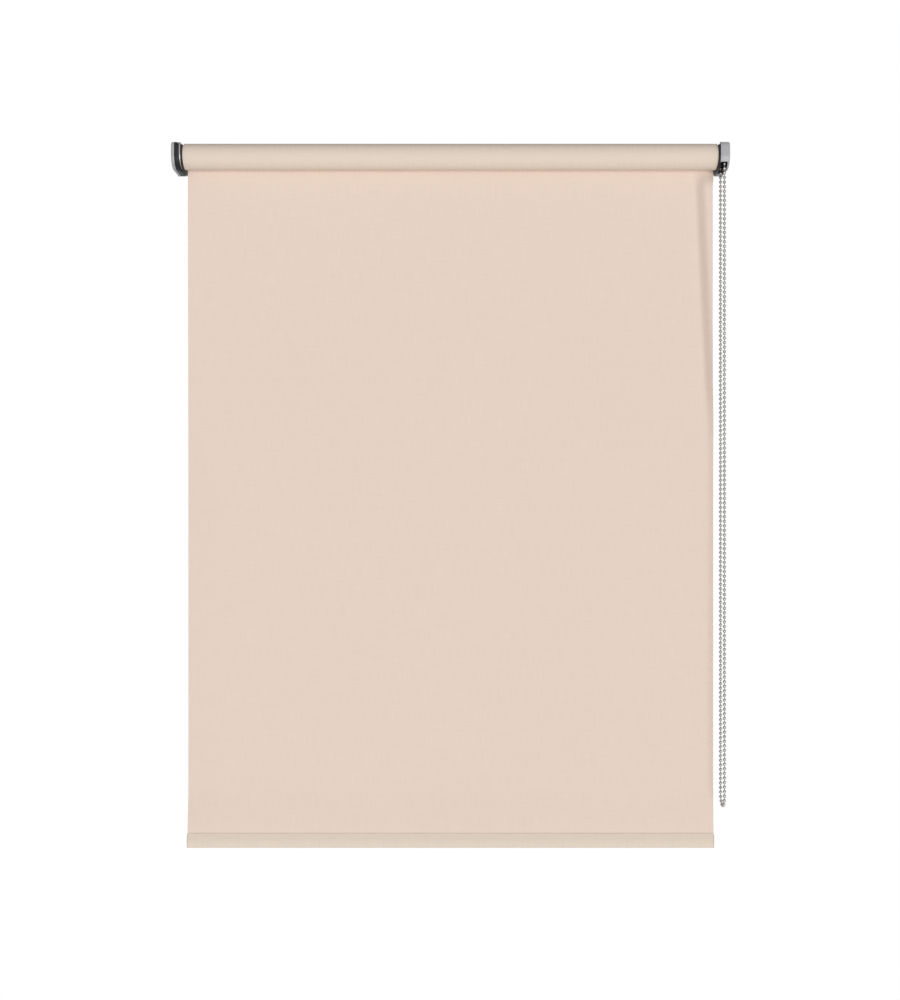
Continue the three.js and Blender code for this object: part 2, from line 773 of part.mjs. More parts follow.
function makeDriverScrew() {
  const headOuter = driverInner - seatGap;
  const headInner = headOuter - screwHeadHeight;
  const shankRadius = screwShank / 2;
  return turned(
    [
      [0, headInner],
      [screwHeadDiameter / 2 - screwHeadHeight / 2, headInner],
      [screwHeadDiameter / 2, headOuter - screwHeadHeight / 2],
      [screwHeadDiameter / 2, headOuter],
      [shankRadius, headOuter],
      [shankRadius, shaftEnd + screwLength - seatGap],
      [0, shaftEnd + screwLength - seatGap],
    ],
    smallRoundSteps,
  );
}

// Extruded aluminium tube, with a slot outside for the spline and two keys inside
function makeTube() {
  const groove = {
    turn: grooveTurn,
    steps: [
      [grooveMouth / 2, tubeRadius - grooveLip],
      [grooveWidth / 2, tubeRadius - grooveLip],
      [grooveWidth / 2, tubeRadius - grooveDepth],
    ],
  };
  const bulge = { turn: grooveTurn, steps: [[grooveWidth / 2 + grooveWall, bossInnerRadius]] };
  const keys = [2, 4].map((third) => ({
    turn: grooveTurn + (third * Math.PI) / 3,
    steps: [[keyWidth / 2, tubeBore - keyHeight]],
  }));
  const outer = featuredCircle(tubeRadius, [groove], roundSteps);
  const bore = featuredCircle(tubeBore, [bulge, ...keys], roundSteps);
  return slab(withHole(outer, bore), -tubeEnd, tubeEnd);
}

// Plastic strip that holds the fabric's end in the tube's slot
function makeSpline() {
  const halfWidth = grooveWidth / 2 - seatGap;
  const low = tubeRadius - grooveDepth + seatGap;
  const high = tubeRadius - grooveLip - seatGap;
  const chamfer = (high - low) / 3;
  const shape = new THREE.Shape();
  shape.moveTo(-halfWidth, low);
  shape.lineTo(halfWidth, low);
  shape.lineTo(halfWidth, high - chamfer);
  shape.lineTo(halfWidth - chamfer, high);
  shape.lineTo(-halfWidth + chamfer, high);
  shape.lineTo(-halfWidth, high - chamfer);
  shape.closePath();
  return slab(shape, -tubeEnd, tubeEnd);
}

// Fabric left on the tube: one step of a fabric's thickness where the outer turn leaves it
// at the back
function makeFabricRoll() {
  const outer = [];
  for (let step = 0; step <= roundSteps; step += 1) {
    const share = step / roundSteps;
    const radius = rollRadius - fabricThickness * share;
    const turn = 2 * Math.PI * share;
    outer.push(new THREE.Vector2(radius * Math.cos(turn), radius * Math.sin(turn)));
  }
  return slab(withHole(outer, circlePoints(tubeRadius + seatGap, roundSteps)), -fabricEdge, fabricEdge);
}

// Idler plug: flange, ribbed body and a bore for the pin's head and spring, closed behind
// but for a vent
function makeIdlerPlug() {
  const plugEnd = plugFlangeInner - plugLength;
  const boreRadius = plugBore / 2;
  const flange = turned(
    ringProfile(pinDiameter / 2 + seatGap, plugFlangeRadius, -plugFlangeOuter, -plugFlangeInner),
    roundSteps,
  );
  const body = slab(
    withHole(plugOutline(), circlePoints(boreRadius, roundSteps / 2)),
    -plugFlangeInner,
    -plugEnd,
  );
  const endWall = turned(
    ringProfile(plugVent / 2, boreRadius + plugRootWall, -plugEnd - plugEndWall, -plugEnd),
    roundSteps,
  );
  return joined(flange, body, endWall);
}

// Sprung pin: chamfered tip, shank, head that stops against the plug's flange, and a tail
// that centres the spring
const pinHeadStart = -plugFlangeInner + seatGap;
const pinHeadEnd = pinHeadStart + pinHeadThickness;

function makeIdlerPin() {
  const tip = -(plateInner + pinReach);
  const radius = pinDiameter / 2;
  return turned(
    [
      [0, tip],
      [radius - pinPoint, tip],
      [radius, tip + pinPoint],
      [radius, pinHeadStart],
      [pinHeadDiameter / 2, pinHeadStart],
      [pinHeadDiameter / 2, pinHeadEnd],
      [pinTailDiameter / 2, pinHeadEnd],
      [pinTailDiameter / 2, pinHeadEnd + pinTailLength],
      [0, pinHeadEnd + pinTailLength],
    ],
    roundSteps / 2,
  );
}

function makePinSpring() {
  const wireRadius = pinSpringWire / 2;
  const start = pinHeadEnd + seatGap + wireRadius;
  const end = -(plugFlangeInner - plugLength) - plugEndWall - seatGap - wireRadius;
  const steps = pinSpringTurns * coilSteps;
  const stations = [];
  for (let step = 0; step <= steps; step += 1) {
    const turn = (2 * Math.PI * step) / coilSteps;
    const x = start + ((end - start) * step) / steps;
    const reach = pinSpringDiameter / 2;
    stations.push({ x, y: reach * Math.cos(turn), z: reach * Math.sin(turn), radius: wireRadius });
  }
  return sweptTube(stations, wireSides, false);
}

// Hanging sheet. A bend brings its right edge forward, and drifts out past the edge on the
// way down.
const panelTop = -Math.sqrt(
  rollRadius * rollRadius - (rollRadius - fabricThickness - seatGap) ** 2,
);
const hemTop = -dropLength + hemHeight;

function smoothShare(value) {
  const share = Math.min(Math.max(value, 0), 1);
  return share * share * (3 - 2 * share);
}

const curlReach = curlInset + curlWidth / 2;

function cupping(x, z) {
  const middle = fabricEdge - curlInset - (curlReach * z) / curlEnd;
  const across = smoothShare((x - middle) / curlWidth + 1 / 2);
  return curlDepth * across * smoothShare((-z - curlStart) / curlRise);
}

function makePanel() {
  const columns = [-fabricEdge];
  for (let step = 0; step <= curlColumns; step += 1) {
    columns.push(fabricEdge - curlReach + (curlReach * step) / curlColumns);
  }
  const heights = [panelTop, -curlStart, -curlStart - curlRise / 2];
  const fullHeight = -curlStart - curlRise;
  for (let step = 0; step <= panelRows; step += 1) {
    heights.push(fullHeight + ((hemTop + seatGap - fullHeight) * step) / panelRows);
  }
  const positions = [];
  const index = [];
  [-1, 1].forEach((face) => {
    heights.forEach((z) => {
      columns.forEach((x) => {
        positions.push(x, panelY + (face * fabricThickness) / 2 - cupping(x, z), z);
      });
    });
  });
  const wide = columns.length;
  const tall = heights.length;
  const backStart = wide * tall;
  const addQuad = (a, b, c, d) => index.push(a, b, c, a, c, d);
  for (let row = 0; row < tall - 1; row += 1) {
    for (let column = 0; column < wide - 1; column += 1) {
      const a = row * wide + column;
      addQuad(a + wide, a + wide + 1, a + 1, a);
      addQuad(backStart + a, backStart + a + 1, backStart + a + wide + 1, backStart + a + wide);
    }
    const left = row * wide;
    const right = left + wide - 1;
    addQuad(left, backStart + left, backStart + left + wide, left + wide);
    addQuad(right + wide, backStart + right + wide, backStart + right, right);
  }
  for (let column = 0; column < wide - 1; column += 1) {
    const bottom = (tall - 1) * wide + column;
    addQuad(column, column + 1, backStart + column + 1, backStart + column);
    addQuad(bottom + 1, bottom, backStart + bottom, backStart + bottom + 1);
  }
  const geometry = new THREE.BufferGeometry();
  geometry.setAttribute('position', new THREE.Float32BufferAttribute(positions, 3));
  geometry.setIndex(index);
  return geometry;
}

// Hem: the fabric's end folded round the bottom bar and welded where the two layers meet.
// Heights here are counted from the bottom edge.
const pocketThickness = barThickness + 2 * (seatGap + fabricThickness);
const barBottom = seatGap + fabricThickness;
const barTop = barBottom + barHeight;

// The two layers leave the weld, two thicknesses wide, and meet the oval round the bar where
// they touch it
function makeHemPocket() {
  const halfThickness = pocketThickness / 2;
  const halfHeight = (barTop + barBottom) / 2;
  const peakY = fabricThickness / halfThickness;
  const peakZ = (hemHeight - halfHeight) / halfHeight;
  const touchTurn = Math.atan2(peakZ, peakY) - Math.acos(1 / Math.hypot(peakY, peakZ));
  const outline = [
    new THREE.Vector2(fabricThickness, hemHeight),
    new THREE.Vector2(-fabricThickness, hemHeight),
  ];
  const start = Math.PI - touchTurn;
  const sweep = Math.PI + 2 * touchTurn;
  for (let step = 0; step <= ovalSteps; step += 1) {
    const turn = start + (sweep * step) / ovalSteps;
    const height = halfHeight * (1 + Math.sin(turn));
    outline.push(new THREE.Vector2(halfThickness * Math.cos(turn), height));
  }
  const room = uprightOval(barThickness + 2 * seatGap, barBottom - seatGap, barTop + seatGap);
  return slab(withHole(outline, room), -fabricEdge, fabricEdge);
}

function makeBottomBar() {
  const outline = uprightOval(barThickness, barBottom, barTop);
  const hollow = uprightOval(barThickness - 2 * barWall, barBottom + barWall, barTop - barWall);
  return slab(withHole(outline, hollow), -fabricEdge, fabricEdge);
}

function makeHemCap(side) {
  const capInner = fabricEdge + seatGap;
  const inset = barWall + seatGap;
  const face = new THREE.Shape(uprightOval(pocketThickness, 0, barTop + barBottom));
  const plugOval = uprightOval(barThickness - 2 * inset, barBottom + inset, barTop - inset);
  const plug = new THREE.Shape(plugOval);
  return joined(
    slab(face, side * capInner, side * (capInner + capThickness)),
    slab(plug, side * (fabricEdge - capPlugLength), side * (capInner + capThickness / 2)),
  );
}

addPiece(blind, 'idler_bracket', makeBracket(-1), finishes.zincSteel);
addPiece(blind, 'control_bracket', makeBracket(1), finishes.zincSteel);
const idlerCarrier = makeEndPlate(-1, pinDiameter / 2 + seatGap, null);
const controlHub = makeEndPlate(1, shaftRadius + seatGap, makeClutchSleeve());
addPiece(blind, 'idler_carrier', idlerCarrier, finishes.blackPlastic);
addPiece(blind, 'control_hub', controlHub, finishes.blackPlastic);
addPiece(blind, 'idler_cap_frame', makeIdlerFrame(), finishes.blackPlastic);
addPiece(blind, 'idler_cap', makeIdlerCap(), finishes.silverPlastic);
addPiece(blind, 'control_cover', makeControlCover(), finishes.silverPlastic);
addPiece(blind, 'chain_guide', makeChainGuide(), finishes.blackPlastic);

const beadsOverTop = wheelPockets / 4;
const freeBeads = makeBeads(beadsOverTop + 1, beadCount - beadsOverTop - 1);
addPiece(blind, 'chain_on_wheel', makeBeads(-beadsOverTop, beadsOverTop), finishes.nickel);
addPiece(blind, 'chain_loop', freeBeads, finishes.nickel);
addPiece(blind, 'fabric_panel', makePanel(), finishes.fabric);

addPiece(rollerGroup, 'roller_tube', makeTube(), finishes.aluminium);
addPiece(rollerGroup, 'fabric_spline', makeSpline(), finishes.greyPlastic);
addPiece(rollerGroup, 'fabric_roll', makeFabricRoll(), finishes.fabric);
addPiece(rollerGroup, 'idler_plug', makeIdlerPlug(), finishes.blackPlastic);
addPiece(rollerGroup, 'idler_pin_spring', makePinSpring(), finishes.springSteel);
addPiece(rollerGroup, 'idler_pin', makeIdlerPin(), finishes.zincSteel);
addPiece(rollerGroup, 'chain_wheel', makeChainWheel(), finishes.blackPlastic);
addPiece(rollerGroup, 'drive_crown', makeDriveCrown(), finishes.blackPlastic);

const innerWrapStart = sleeveEnd + wrapMargin;
const outerWrapStart = innerWrapStart + wrapPitch * wrapTurns + wrapSpacing;
addPiece(rollerGroup, 'wrap_spring_inner', makeWrapSpring(innerWrapStart), finishes.springSteel);
addPiece(rollerGroup, 'wrap_spring_outer', makeWrapSpring(outerWrapStart), finishes.springSteel);
addPiece(rollerGroup, 'spring_driver', makeSpringDriver(), finishes.greyPlastic);
addPiece(rollerGroup, 'driver_screw', makeDriverScrew(), finishes.zincSteel);

addPiece(hemGroup, 'hem_pocket', makeHemPocket(), finishes.fabric);
addPiece(hemGroup, 'bottom_bar', makeBottomBar(), finishes.aluminium);
addPiece(hemGroup, 'hem_cap_left', makeHemCap(-1), finishes.silverPlastic);
addPiece(hemGroup, 'hem_cap_right', makeHemCap(1), finishes.silverPlastic);

blind.updateMatrixWorld(true);

export default blind;
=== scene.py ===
"""Blackout roller blind: fabric, hem, end covers, brackets and bead chain, built around the
solids of the same blind. Metres, +Z up, the wall at Y = 0 and the room on the -Y side."""

import math

import bmesh
import bpy
from mathutils import Matrix, Vector, noise


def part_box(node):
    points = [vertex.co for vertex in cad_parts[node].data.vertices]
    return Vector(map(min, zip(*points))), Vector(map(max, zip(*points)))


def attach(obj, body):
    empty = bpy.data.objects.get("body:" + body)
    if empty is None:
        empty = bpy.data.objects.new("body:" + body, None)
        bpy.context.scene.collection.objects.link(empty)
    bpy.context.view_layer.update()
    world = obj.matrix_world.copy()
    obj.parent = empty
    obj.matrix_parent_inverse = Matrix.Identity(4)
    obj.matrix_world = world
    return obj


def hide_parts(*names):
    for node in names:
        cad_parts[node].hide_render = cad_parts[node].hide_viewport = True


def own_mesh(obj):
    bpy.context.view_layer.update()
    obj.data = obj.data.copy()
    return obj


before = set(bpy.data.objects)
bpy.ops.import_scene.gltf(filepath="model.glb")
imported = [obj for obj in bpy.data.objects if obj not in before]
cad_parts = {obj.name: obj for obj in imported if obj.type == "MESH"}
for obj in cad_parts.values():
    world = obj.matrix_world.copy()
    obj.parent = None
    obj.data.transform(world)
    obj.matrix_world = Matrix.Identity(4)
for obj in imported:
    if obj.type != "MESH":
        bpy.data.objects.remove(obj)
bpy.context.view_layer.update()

bl_info = {
    "name": "Blackout roller blind",
    "version": (1, 0, 0),
    "blender": (4, 5, 0),
    "location": "View3D > Sidebar > Roller blind",
    "description": "Builds a chain-operated blackout roller blind piece by piece",
    "category": "Add Mesh",
}

MM = 0.001
ROOT = "brackets"
ROLLER = "roller"
HEM = "hem"

# Boxes of the solids that the visible pieces follow
PANEL_LOW, PANEL_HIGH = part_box("fabric_panel")
ROLL_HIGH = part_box("fabric_roll")[1]
TUBE_LOW, TUBE_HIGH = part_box("roller_tube")
POCKET_LOW, POCKET_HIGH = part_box("hem_pocket")
BAR_LOW, BAR_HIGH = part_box("bottom_bar")
HEM_CAP_LOW, HEM_CAP_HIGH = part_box("hem_cap_right")
OPEN_BRACKET_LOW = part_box("idler_bracket")[0]
BRACKET_LOW, BRACKET_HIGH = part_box("control_bracket")
COVER_LOW, COVER_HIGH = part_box("control_cover")
FRAME_LOW, FRAME_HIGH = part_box("idler_cap_frame")
CAP_LOW, CAP_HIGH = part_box("idler_cap")
HUB_LOW, HUB_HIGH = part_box("control_hub")
GUIDE_LOW, GUIDE_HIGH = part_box("chain_guide")
LOOP_LOW, LOOP_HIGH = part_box("chain_loop")
WHEEL_LOW, WHEEL_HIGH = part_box("chain_wheel")

AXIS_Y = -23 * MM  # the roller's axis, in front of the wall
CENTRE = (AXIS_Y, 0)
SEAT_GAP = 0.3 * MM  # play between a piece and its seat
OVERRUN = 2 * MM  # how far a cutting shape reaches past what it cuts
HAIR = 0.1 * MM  # enough to keep two faces or edges apart
ALONG = 0.9  # an edge follows an axis if at least this part of its direction lies along it
FABRIC_EDGE = PANEL_HIGH.x
ROLL_RADIUS = ROLL_HIGH.y - AXIS_Y
TUBE_RADIUS = (TUBE_HIGH.z - TUBE_LOW.z) / 2
CHAIN_PLANE = (LOOP_LOW.x + LOOP_HIGH.x) / 2

# Sizes that pieces share and that stay the same in a wider or longer blind
SHAFT_RADIUS = 4.9 * MM  # the chain wheel's shaft, in the hub
PIN_RADIUS = 3 * MM  # the idler's pin, in its carrier
BOSS_RADIUS = 9 * MM  # an end plate's boss, in its bracket
PEG_RADIUS = 2 * MM  # an end plate's pegs, in its bracket
FINE_EDGE = 0.15 * MM  # radius along the edges of pressed steel and hem caps
MOULDED_EDGE = 0.2 * MM  # radius along the edges of covers and end plates


def linear(code):
    """Linear RGBA of an sRGB hex code."""
    parts = [int(code[i:i + 2], 16) / 255 for i in (1, 3, 5)]
    flat = [c / 12.92 if c <= 0.04045 else ((c + 0.055) / 1.055) ** 2.4 for c in parts]
    return (*flat, 1.0)


def length(name, description, millimetres):
    return bpy.props.FloatProperty(
        name=name, description=description, unit="LENGTH", default=millimetres * MM, precision=4,
    )


def colour(name, description, code):
    return bpy.props.FloatVectorProperty(
        name=name, description=description, subtype="COLOR", size=4, min=0, max=1,
        default=linear(code),
    )


class FabricSettings(bpy.types.PropertyGroup):
    """Blackout cloth: the hanging sheet, the turns on the tube and the hem"""

    colour: colour("Colour", "Colour of the cloth's room side", "#E6D3C5")
    coating: colour("Coating", "Colour of the coated side, which roll and hem show", "#E0D1C1")
    thickness: length("Thickness", "Thickness of the coated cloth", 0.42)
    thread_spacing: length("Thread spacing", "Distance between threads of the weave", 0.7)
    turns: bpy.props.FloatProperty(
        name="Turns on the tube", description="Turns left on the tube when the blind is down",
        default=2.25,
    )
    curl_inset: length("Bend inset", "Right edge to the middle of its forward bend", 18.5)
    curl_width: length("Bend width", "Width of the forward bend", 18)
    curl_depth: length("Bend depth", "How far the bend brings the edge forward", 8.5)
    curl_start: length("Bend start", "Where the bend starts, below the axis", 12)
    curl_rise: length("Bend rise", "Height over which the bend reaches its depth", 25)
    curl_end: length("Bend end", "Where the bend would have run out past the edge", 590)
    curl_fade: length("Bend fade", "Where the bend starts to flatten", 290)
    curl_flat: length("Bend flat", "Where the bend has become flat", 415)
    ripple: length("Ripple", "Height of the sheet's slow ripples", 0.5)
    lean_width: length("Lean width", "Strip at the left edge that leans back", 80)
    lean_depth: length("Lean depth", "How far the left edge leans back", 3)
    hem_join: length("Hem join", "From the bar's middle forward to where the sheet joins", 1.8)
    join_lead: length("Join lead", "Height over which the sheet comes forward to the hem", 60)


class ChainSettings(bpy.types.PropertyGroup):
    """Endless metal bead chain and its wheel"""

    bead_pitch: length("Bead pitch", "Distance from bead to bead", 6)
    bead_diameter: length("Bead diameter", "Diameter of a bead", 4.5)
    link_diameter: length("Link diameter", "Diameter of the wire between beads", 1.2)
    bead_count: bpy.props.IntProperty(
        name="Beads", description="Beads in the whole loop", default=293,
    )
    wheel_pockets: bpy.props.IntProperty(
        name="Pockets", description="Pockets round the chain wheel", default=12,
    )
    wheel_width: length("Wheel width", "Width of the chain wheel's rim", 6.6)
    loop_height: length("Loop height", "Height of the curved stretch at the bottom", 14)
    colour: colour("Colour", "Colour of the nickel plating", "#9C9C9A")


class EndSettings(bpy.types.PropertyGroup):
    """Covers, end plates and brackets"""

    top_radius: length("Top radius", "Radius of the top front corner", 7)
    bottom_radius: length("Bottom radius", "Radius of the bottom front corner", 17)
    wall: length("Cover wall", "Wall thickness of the covers", 1.8)
    edge_radius: length("Edge radius", "Radius round the covers' outer face", 1.6)
    frame_chamfer: length("Frame chamfer", "Chamfer on the black frame's top corner", 4)
    sheet: length("Bracket sheet", "Thickness of the brackets' steel", 1.5)
    bend_radius: length("Bend radius", "Outer radius where the steel is bent", 2)
    foot_height: length("Foot height", "Height of the foot under a bracket's plate", 1.6)
    foot_front: length("Foot front", "From the wall to the foot's front end", 24)
    screw_hole: length("Screw hole", "Diameter of the brackets' screw holes", 4.2)
    peg_circle: length("Peg circle", "From the axis to each peg of an end plate", 14.5)
    window_drop: length("Window drop", "Axis down to the top of the chain's window", 11)
    cover_colour: colour("Cover colour", "Colour of the silver-grey covers", "#A4A3A6")
    plate_colour: colour("Plate colour", "Colour of the black mouldings", "#0F0F11")


class StageSettings(bpy.types.PropertyGroup):
    """Camera, floor and lights"""

    camera_distance: length("Camera distance", "From the wall to the camera", 1618)
    camera_height: length("Camera height", "Camera's height over the roller's axis", -452.2)
    camera_side: length("Camera side", "Camera's place along the roller", -0.67)
    lens: bpy.props.FloatProperty(
        name="Lens", description="Focal length in millimetres", default=43.54,
    )
    floor_height: length("Floor height", "Floor's height over the roller's axis", -3200)
    floor_size: length("Floor size", "Width of the square floor", 4000)
    key_strength: bpy.props.FloatProperty(
        name="Key light", description="Strength of the soft light from the front", default=2.35,
    )
    key_softness: bpy.props.FloatProperty(
        name="Key softness", description="Angle over which the key light is spread",
        subtype="ANGLE", default=math.radians(40),
    )
    ambient: bpy.props.FloatProperty(
        name="Ambient", description="Strength of the even light from all sides", default=0.3,
    )


# Selection and modelling

def clear_selection():
    bpy.ops.object.select_all(action="DESELECT")


def make_active(piece):
    clear_selection()
    piece.select_set(True)
    bpy.context.view_layer.objects.active = piece


def take_new(name):
    """Names the primitive just added and puts its place and size into its mesh."""
    piece = bpy.context.object
    piece.name = name
    piece.data.name = name
    bpy.ops.object.transform_apply(location=True, rotation=True, scale=True)
    return piece


def add_block(name, low, high):
    """A box between two corners, given in any order."""
    clear_selection()
    low, high = [Vector(map(pick, low, high)) for pick in (min, max)]
    bpy.ops.mesh.primitive_cube_add(size=1, location=(low + high) / 2)
    bpy.context.object.scale = high - low
    return take_new(name)


def add_rod(name, radius, from_x, to_x, centre=CENTRE, sides=64):
    """A round bar along X between two places, about a centre in Y and Z."""
    clear_selection()
    bpy.ops.mesh.primitive_cylinder_add(
        vertices=sides, radius=radius, depth=abs(to_x - from_x),
        location=((from_x + to_x) / 2, *centre), rotation=(0, math.pi / 2, 0),
    )
    return take_new(name)


def add_oval(name, from_x, to_x, low, high):
    """An oval bar along X that fills the box between two corners in Y and Z."""
    clear_selection()
    bpy.ops.mesh.primitive_cylinder_add(
        vertices=64, radius=0.5, depth=1, rotation=(0, math.pi / 2, 0),
    )
    oval = take_new(name)
    oval.location = ((from_x + to_x) / 2, (low[0] + high[0]) / 2, (low[1] + high[1]) / 2)
    oval.scale = (abs(to_x - from_x), high[0] - low[0], high[1] - low[1])
    bpy.ops.object.transform_apply(location=True, rotation=False, scale=True)
    return oval


def add_drill(name, radius, place, turn):
    """A short round cutter about a place in a sheet, upright before it is turned."""
    clear_selection()
    bpy.ops.mesh.primitive_cylinder_add(
        vertices=32, radius=radius, depth=4 * OVERRUN, location=place, rotation=turn,
    )
    return take_new(name)


def bevel_edges(piece, belongs, offset, segments):
    """Rounds the edges whose middle and direction belong."""
    make_active(piece)
    bpy.ops.object.mode_set(mode="EDIT")
    bpy.ops.mesh.select_mode(type="EDGE")
    bpy.ops.mesh.select_all(action="DESELECT")
    shape = bmesh.from_edit_mesh(piece.data)
    for edge in shape.edges:
        start, end = [vertex.co for vertex in edge.verts]
        edge.select_set(belongs((start + end) / 2, (end - start).normalized()))
    bmesh.update_edit_mesh(piece.data)
    bpy.ops.mesh.bevel(offset=offset, offset_type="OFFSET", segments=segments, affect="EDGES")
    bpy.ops.object.mode_set(mode="OBJECT")


def add_mesh(name, mesh):
    """A piece for a mesh that was worked out or copied."""
    mesh.name = name
    piece = bpy.data.objects.new(name, mesh)
    bpy.context.scene.collection.objects.link(piece)
    return piece


def near(value, target):
    return abs(value - target) < HAIR / 2


def apply_modifier(piece, kind, **settings):
    make_active(piece)
    modifier = piece.modifiers.new(kind.title(), kind)
    for name, value in settings.items():
        setattr(modifier, name, value)
    bpy.ops.object.modifier_apply(modifier=modifier.name)


def combine(piece, others, operation):
    """Joins the others to the piece, or cuts them out of it."""
    for other in others:
        apply_modifier(piece, "BOOLEAN", operation=operation, object=other, solver="MANIFOLD")
        bpy.data.objects.remove(other, do_unlink=True)
    return piece


def soften(piece, radius):
    """A small radius along the sharp edges, as a mould or a press leaves them."""
    apply_modifier(
        piece, "BEVEL", width=radius, segments=2, limit_method="ANGLE",
        angle_limit=math.radians(30), use_clamp_overlap=True,
    )
    return smooth(piece)


def smooth(piece, degrees=40):
    """Shades a piece smooth, but for edges that turn by more than the angle."""
    make_active(piece)
    bpy.ops.object.shade_smooth_by_angle(angle=math.radians(degrees))
    return piece


def tidy_mesh(piece):
    """Merges doubles and turns all faces outwards."""
    make_active(piece)
    bpy.ops.object.mode_set(mode="EDIT")
    bpy.ops.mesh.select_all(action="SELECT")
    bpy.ops.mesh.remove_doubles(threshold=0.001 * MM)
    bpy.ops.mesh.normals_make_consistent(inside=False)
    bpy.ops.object.mode_set(mode="OBJECT")


def spread(low, high, steps):
    return [low + (high - low) * step / steps for step in range(steps + 1)]


def smooth_share(value):
    """A smooth step from 0 to 1 as the value goes from 0 to 1."""
    share = min(max(value, 0), 1)
    return share * share * (3 - 2 * share)


def cloth(name, columns, rows, thickness, is_first_coated):
    """Cloth through the middle surface that rows give, each a function from X to a point
    with the distance along the cloth. Its UV map holds real metres, and its attribute tells
    the coated side, which is the grid's own side where the first is coated."""
    clear_selection()
    bpy.ops.mesh.primitive_grid_add(
        x_subdivisions=len(columns) - 1, y_subdivisions=len(rows) - 1, size=1,
    )
    piece = take_new(name)
    wide = len(columns)
    flat = []
    for index, vertex in enumerate(piece.data.vertices):
        x = columns[index % wide]
        place, distance = rows[index // wide]
        vertex.co = place(x)
        flat.append((x, distance))
    layer = piece.data.uv_layers.active
    for loop in piece.data.loops:
        layer.data[loop.index].uv = flat[loop.vertex_index]
    own_faces = len(piece.data.polygons)
    apply_modifier(piece, "SOLIDIFY", thickness=thickness, offset=0, use_even_offset=True)
    coated = piece.data.attributes.new("coated", "FLOAT", "FACE")
    for index, face in enumerate(coated.data):
        face.value = float((index < own_faces) == is_first_coated)
    return smooth(piece, 50)


def folded_rows(outline):
    """Rows for cloth that follows one outline of (Y, Z) all along X."""
    rows = []
    distance = 0
    for index, point in enumerate(outline):
        if index:
            distance += (Vector(point) - Vector(outline[index - 1])).length
        rows.append((lambda x, point=point: (x, *point), distance))
    return rows


def finish_piece(piece, material_name, body, node):
    """Gives a finished piece its material and body, and hides the solid it stands for."""
    piece.data.materials.clear()
    piece.data.materials.append(finish(material_name))
    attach(piece, body)
    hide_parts(node)


# Materials

def add_node(tree, kind, values=None, links=None, **settings):
    """Adds a node with its settings, the values of its inputs and the links into them."""
    node = tree.nodes.new(kind)
    for name, value in settings.items():
        setattr(node, name, value)
    for socket, value in (values or {}).items():
        node.inputs[socket].default_value = value
    for socket, source in (links or {}).items():
        tree.links.new(source, node.inputs[socket])
    return node


def new_tree(name):
    """A material with an empty node tree."""
    material = bpy.data.materials.new(name)
    material.use_nodes = True
    material.node_tree.nodes.clear()
    return material, material.node_tree


def shade(tone, amount):
    """A colour times an amount, as RGBA."""
    return [min(1, part * amount) for part in tone[:3]] + [1]


# Sockets of a Mix node that mixes colours
MIX_SHARE, MIX_FIRST, MIX_SECOND, MIX_RESULT = 0, 6, 7, 2
WAVE_TURN = 20  # radians that the Wave node's bands turn in a metre at scale 1


def blackout_cloth(fabric):
    """Coated polyester in plain weave: matt, opaque, its threads a little uneven. The real
    threads lie about 0.35 mm apart, and are drawn twice as coarse so that they show."""
    material, tree = new_tree("coated_blackout_weave")
    place = add_node(tree, "ShaderNodeTexCoord").outputs["UV"]
    wave_scale = 2 * math.pi / WAVE_TURN / fabric.thread_spacing
    threads = []
    slubs = []
    across = 1 / fabric.thread_spacing
    along = across / 40  # a thick stretch of a thread is 40 spacings long
    for direction, stretch in (("X", (across, along, 1)), ("Y", (along, across, 1))):
        threads.append(add_node(
            tree, "ShaderNodeTexWave", {"Scale": wave_scale, "Distortion": 0.6, "Detail": 1},
            {"Vector": place}, bands_direction=direction,
        ).outputs["Fac"])
        turned = add_node(tree, "ShaderNodeMapping", {"Scale": stretch}, {"Vector": place})
        slubs.append(add_node(
            tree, "ShaderNodeTexNoise", {"Scale": 1, "Detail": 1},
            {"Vector": turned.outputs["Vector"]},
        ).outputs["Fac"])
    weave, slub = [
        add_node(
            tree, "ShaderNodeMath", links={0: pair[0], 1: pair[1]}, operation="MULTIPLY",
        ).outputs["Value"]
        for pair in (threads, slubs)
    ]
    coated = add_node(tree, "ShaderNodeAttribute", attribute_name="coated").outputs["Fac"]
    side = add_node(
        tree, "ShaderNodeMix", {MIX_FIRST: fabric.colour, MIX_SECOND: fabric.coating},
        {MIX_SHARE: coated}, data_type="RGBA",
    ).outputs[MIX_RESULT]
    drift = 200 * MM  # over which the dye grows a little deeper or paler
    cloudy = add_node(
        tree, "ShaderNodeTexNoise", {"Scale": 1 / drift, "Detail": 2}, {"Vector": place},
    )
    thready, dye = [
        add_node(
            tree, "ShaderNodeMapRange", {"To Min": low, "To Max": high}, {"Value": value},
        ).outputs["Result"]
        for low, high, value in ((0.94, 1.15, slub), (0.975, 1, cloudy.outputs["Fac"]))
    ]
    depth = add_node(
        tree, "ShaderNodeMath", links={0: thready, 1: dye}, operation="MULTIPLY",
    ).outputs["Value"]
    tone = add_node(
        tree, "ShaderNodeVectorMath", links={0: side, "Scale": depth}, operation="SCALE",
    )
    relief = add_node(tree, "ShaderNodeMath", links={0: weave, 1: slub}, operation="ADD")
    bump = add_node(
        tree, "ShaderNodeBump", {"Strength": 0.35, "Distance": 0.08 * MM},
        {"Height": relief.outputs["Value"]},
    )
    shader = add_node(
        tree, "ShaderNodeBsdfPrincipled",
        {"Roughness": 0.9, "IOR": 1.46, "Specular IOR Level": 0.25, "Sheen Weight": 0.08,
         "Sheen Roughness": 0.6},
        {"Base Color": tone.outputs["Vector"], "Normal": bump.outputs["Normal"]},
    )
    add_node(tree, "ShaderNodeOutputMaterial", links={"Surface": shader.outputs["BSDF"]})
    return material


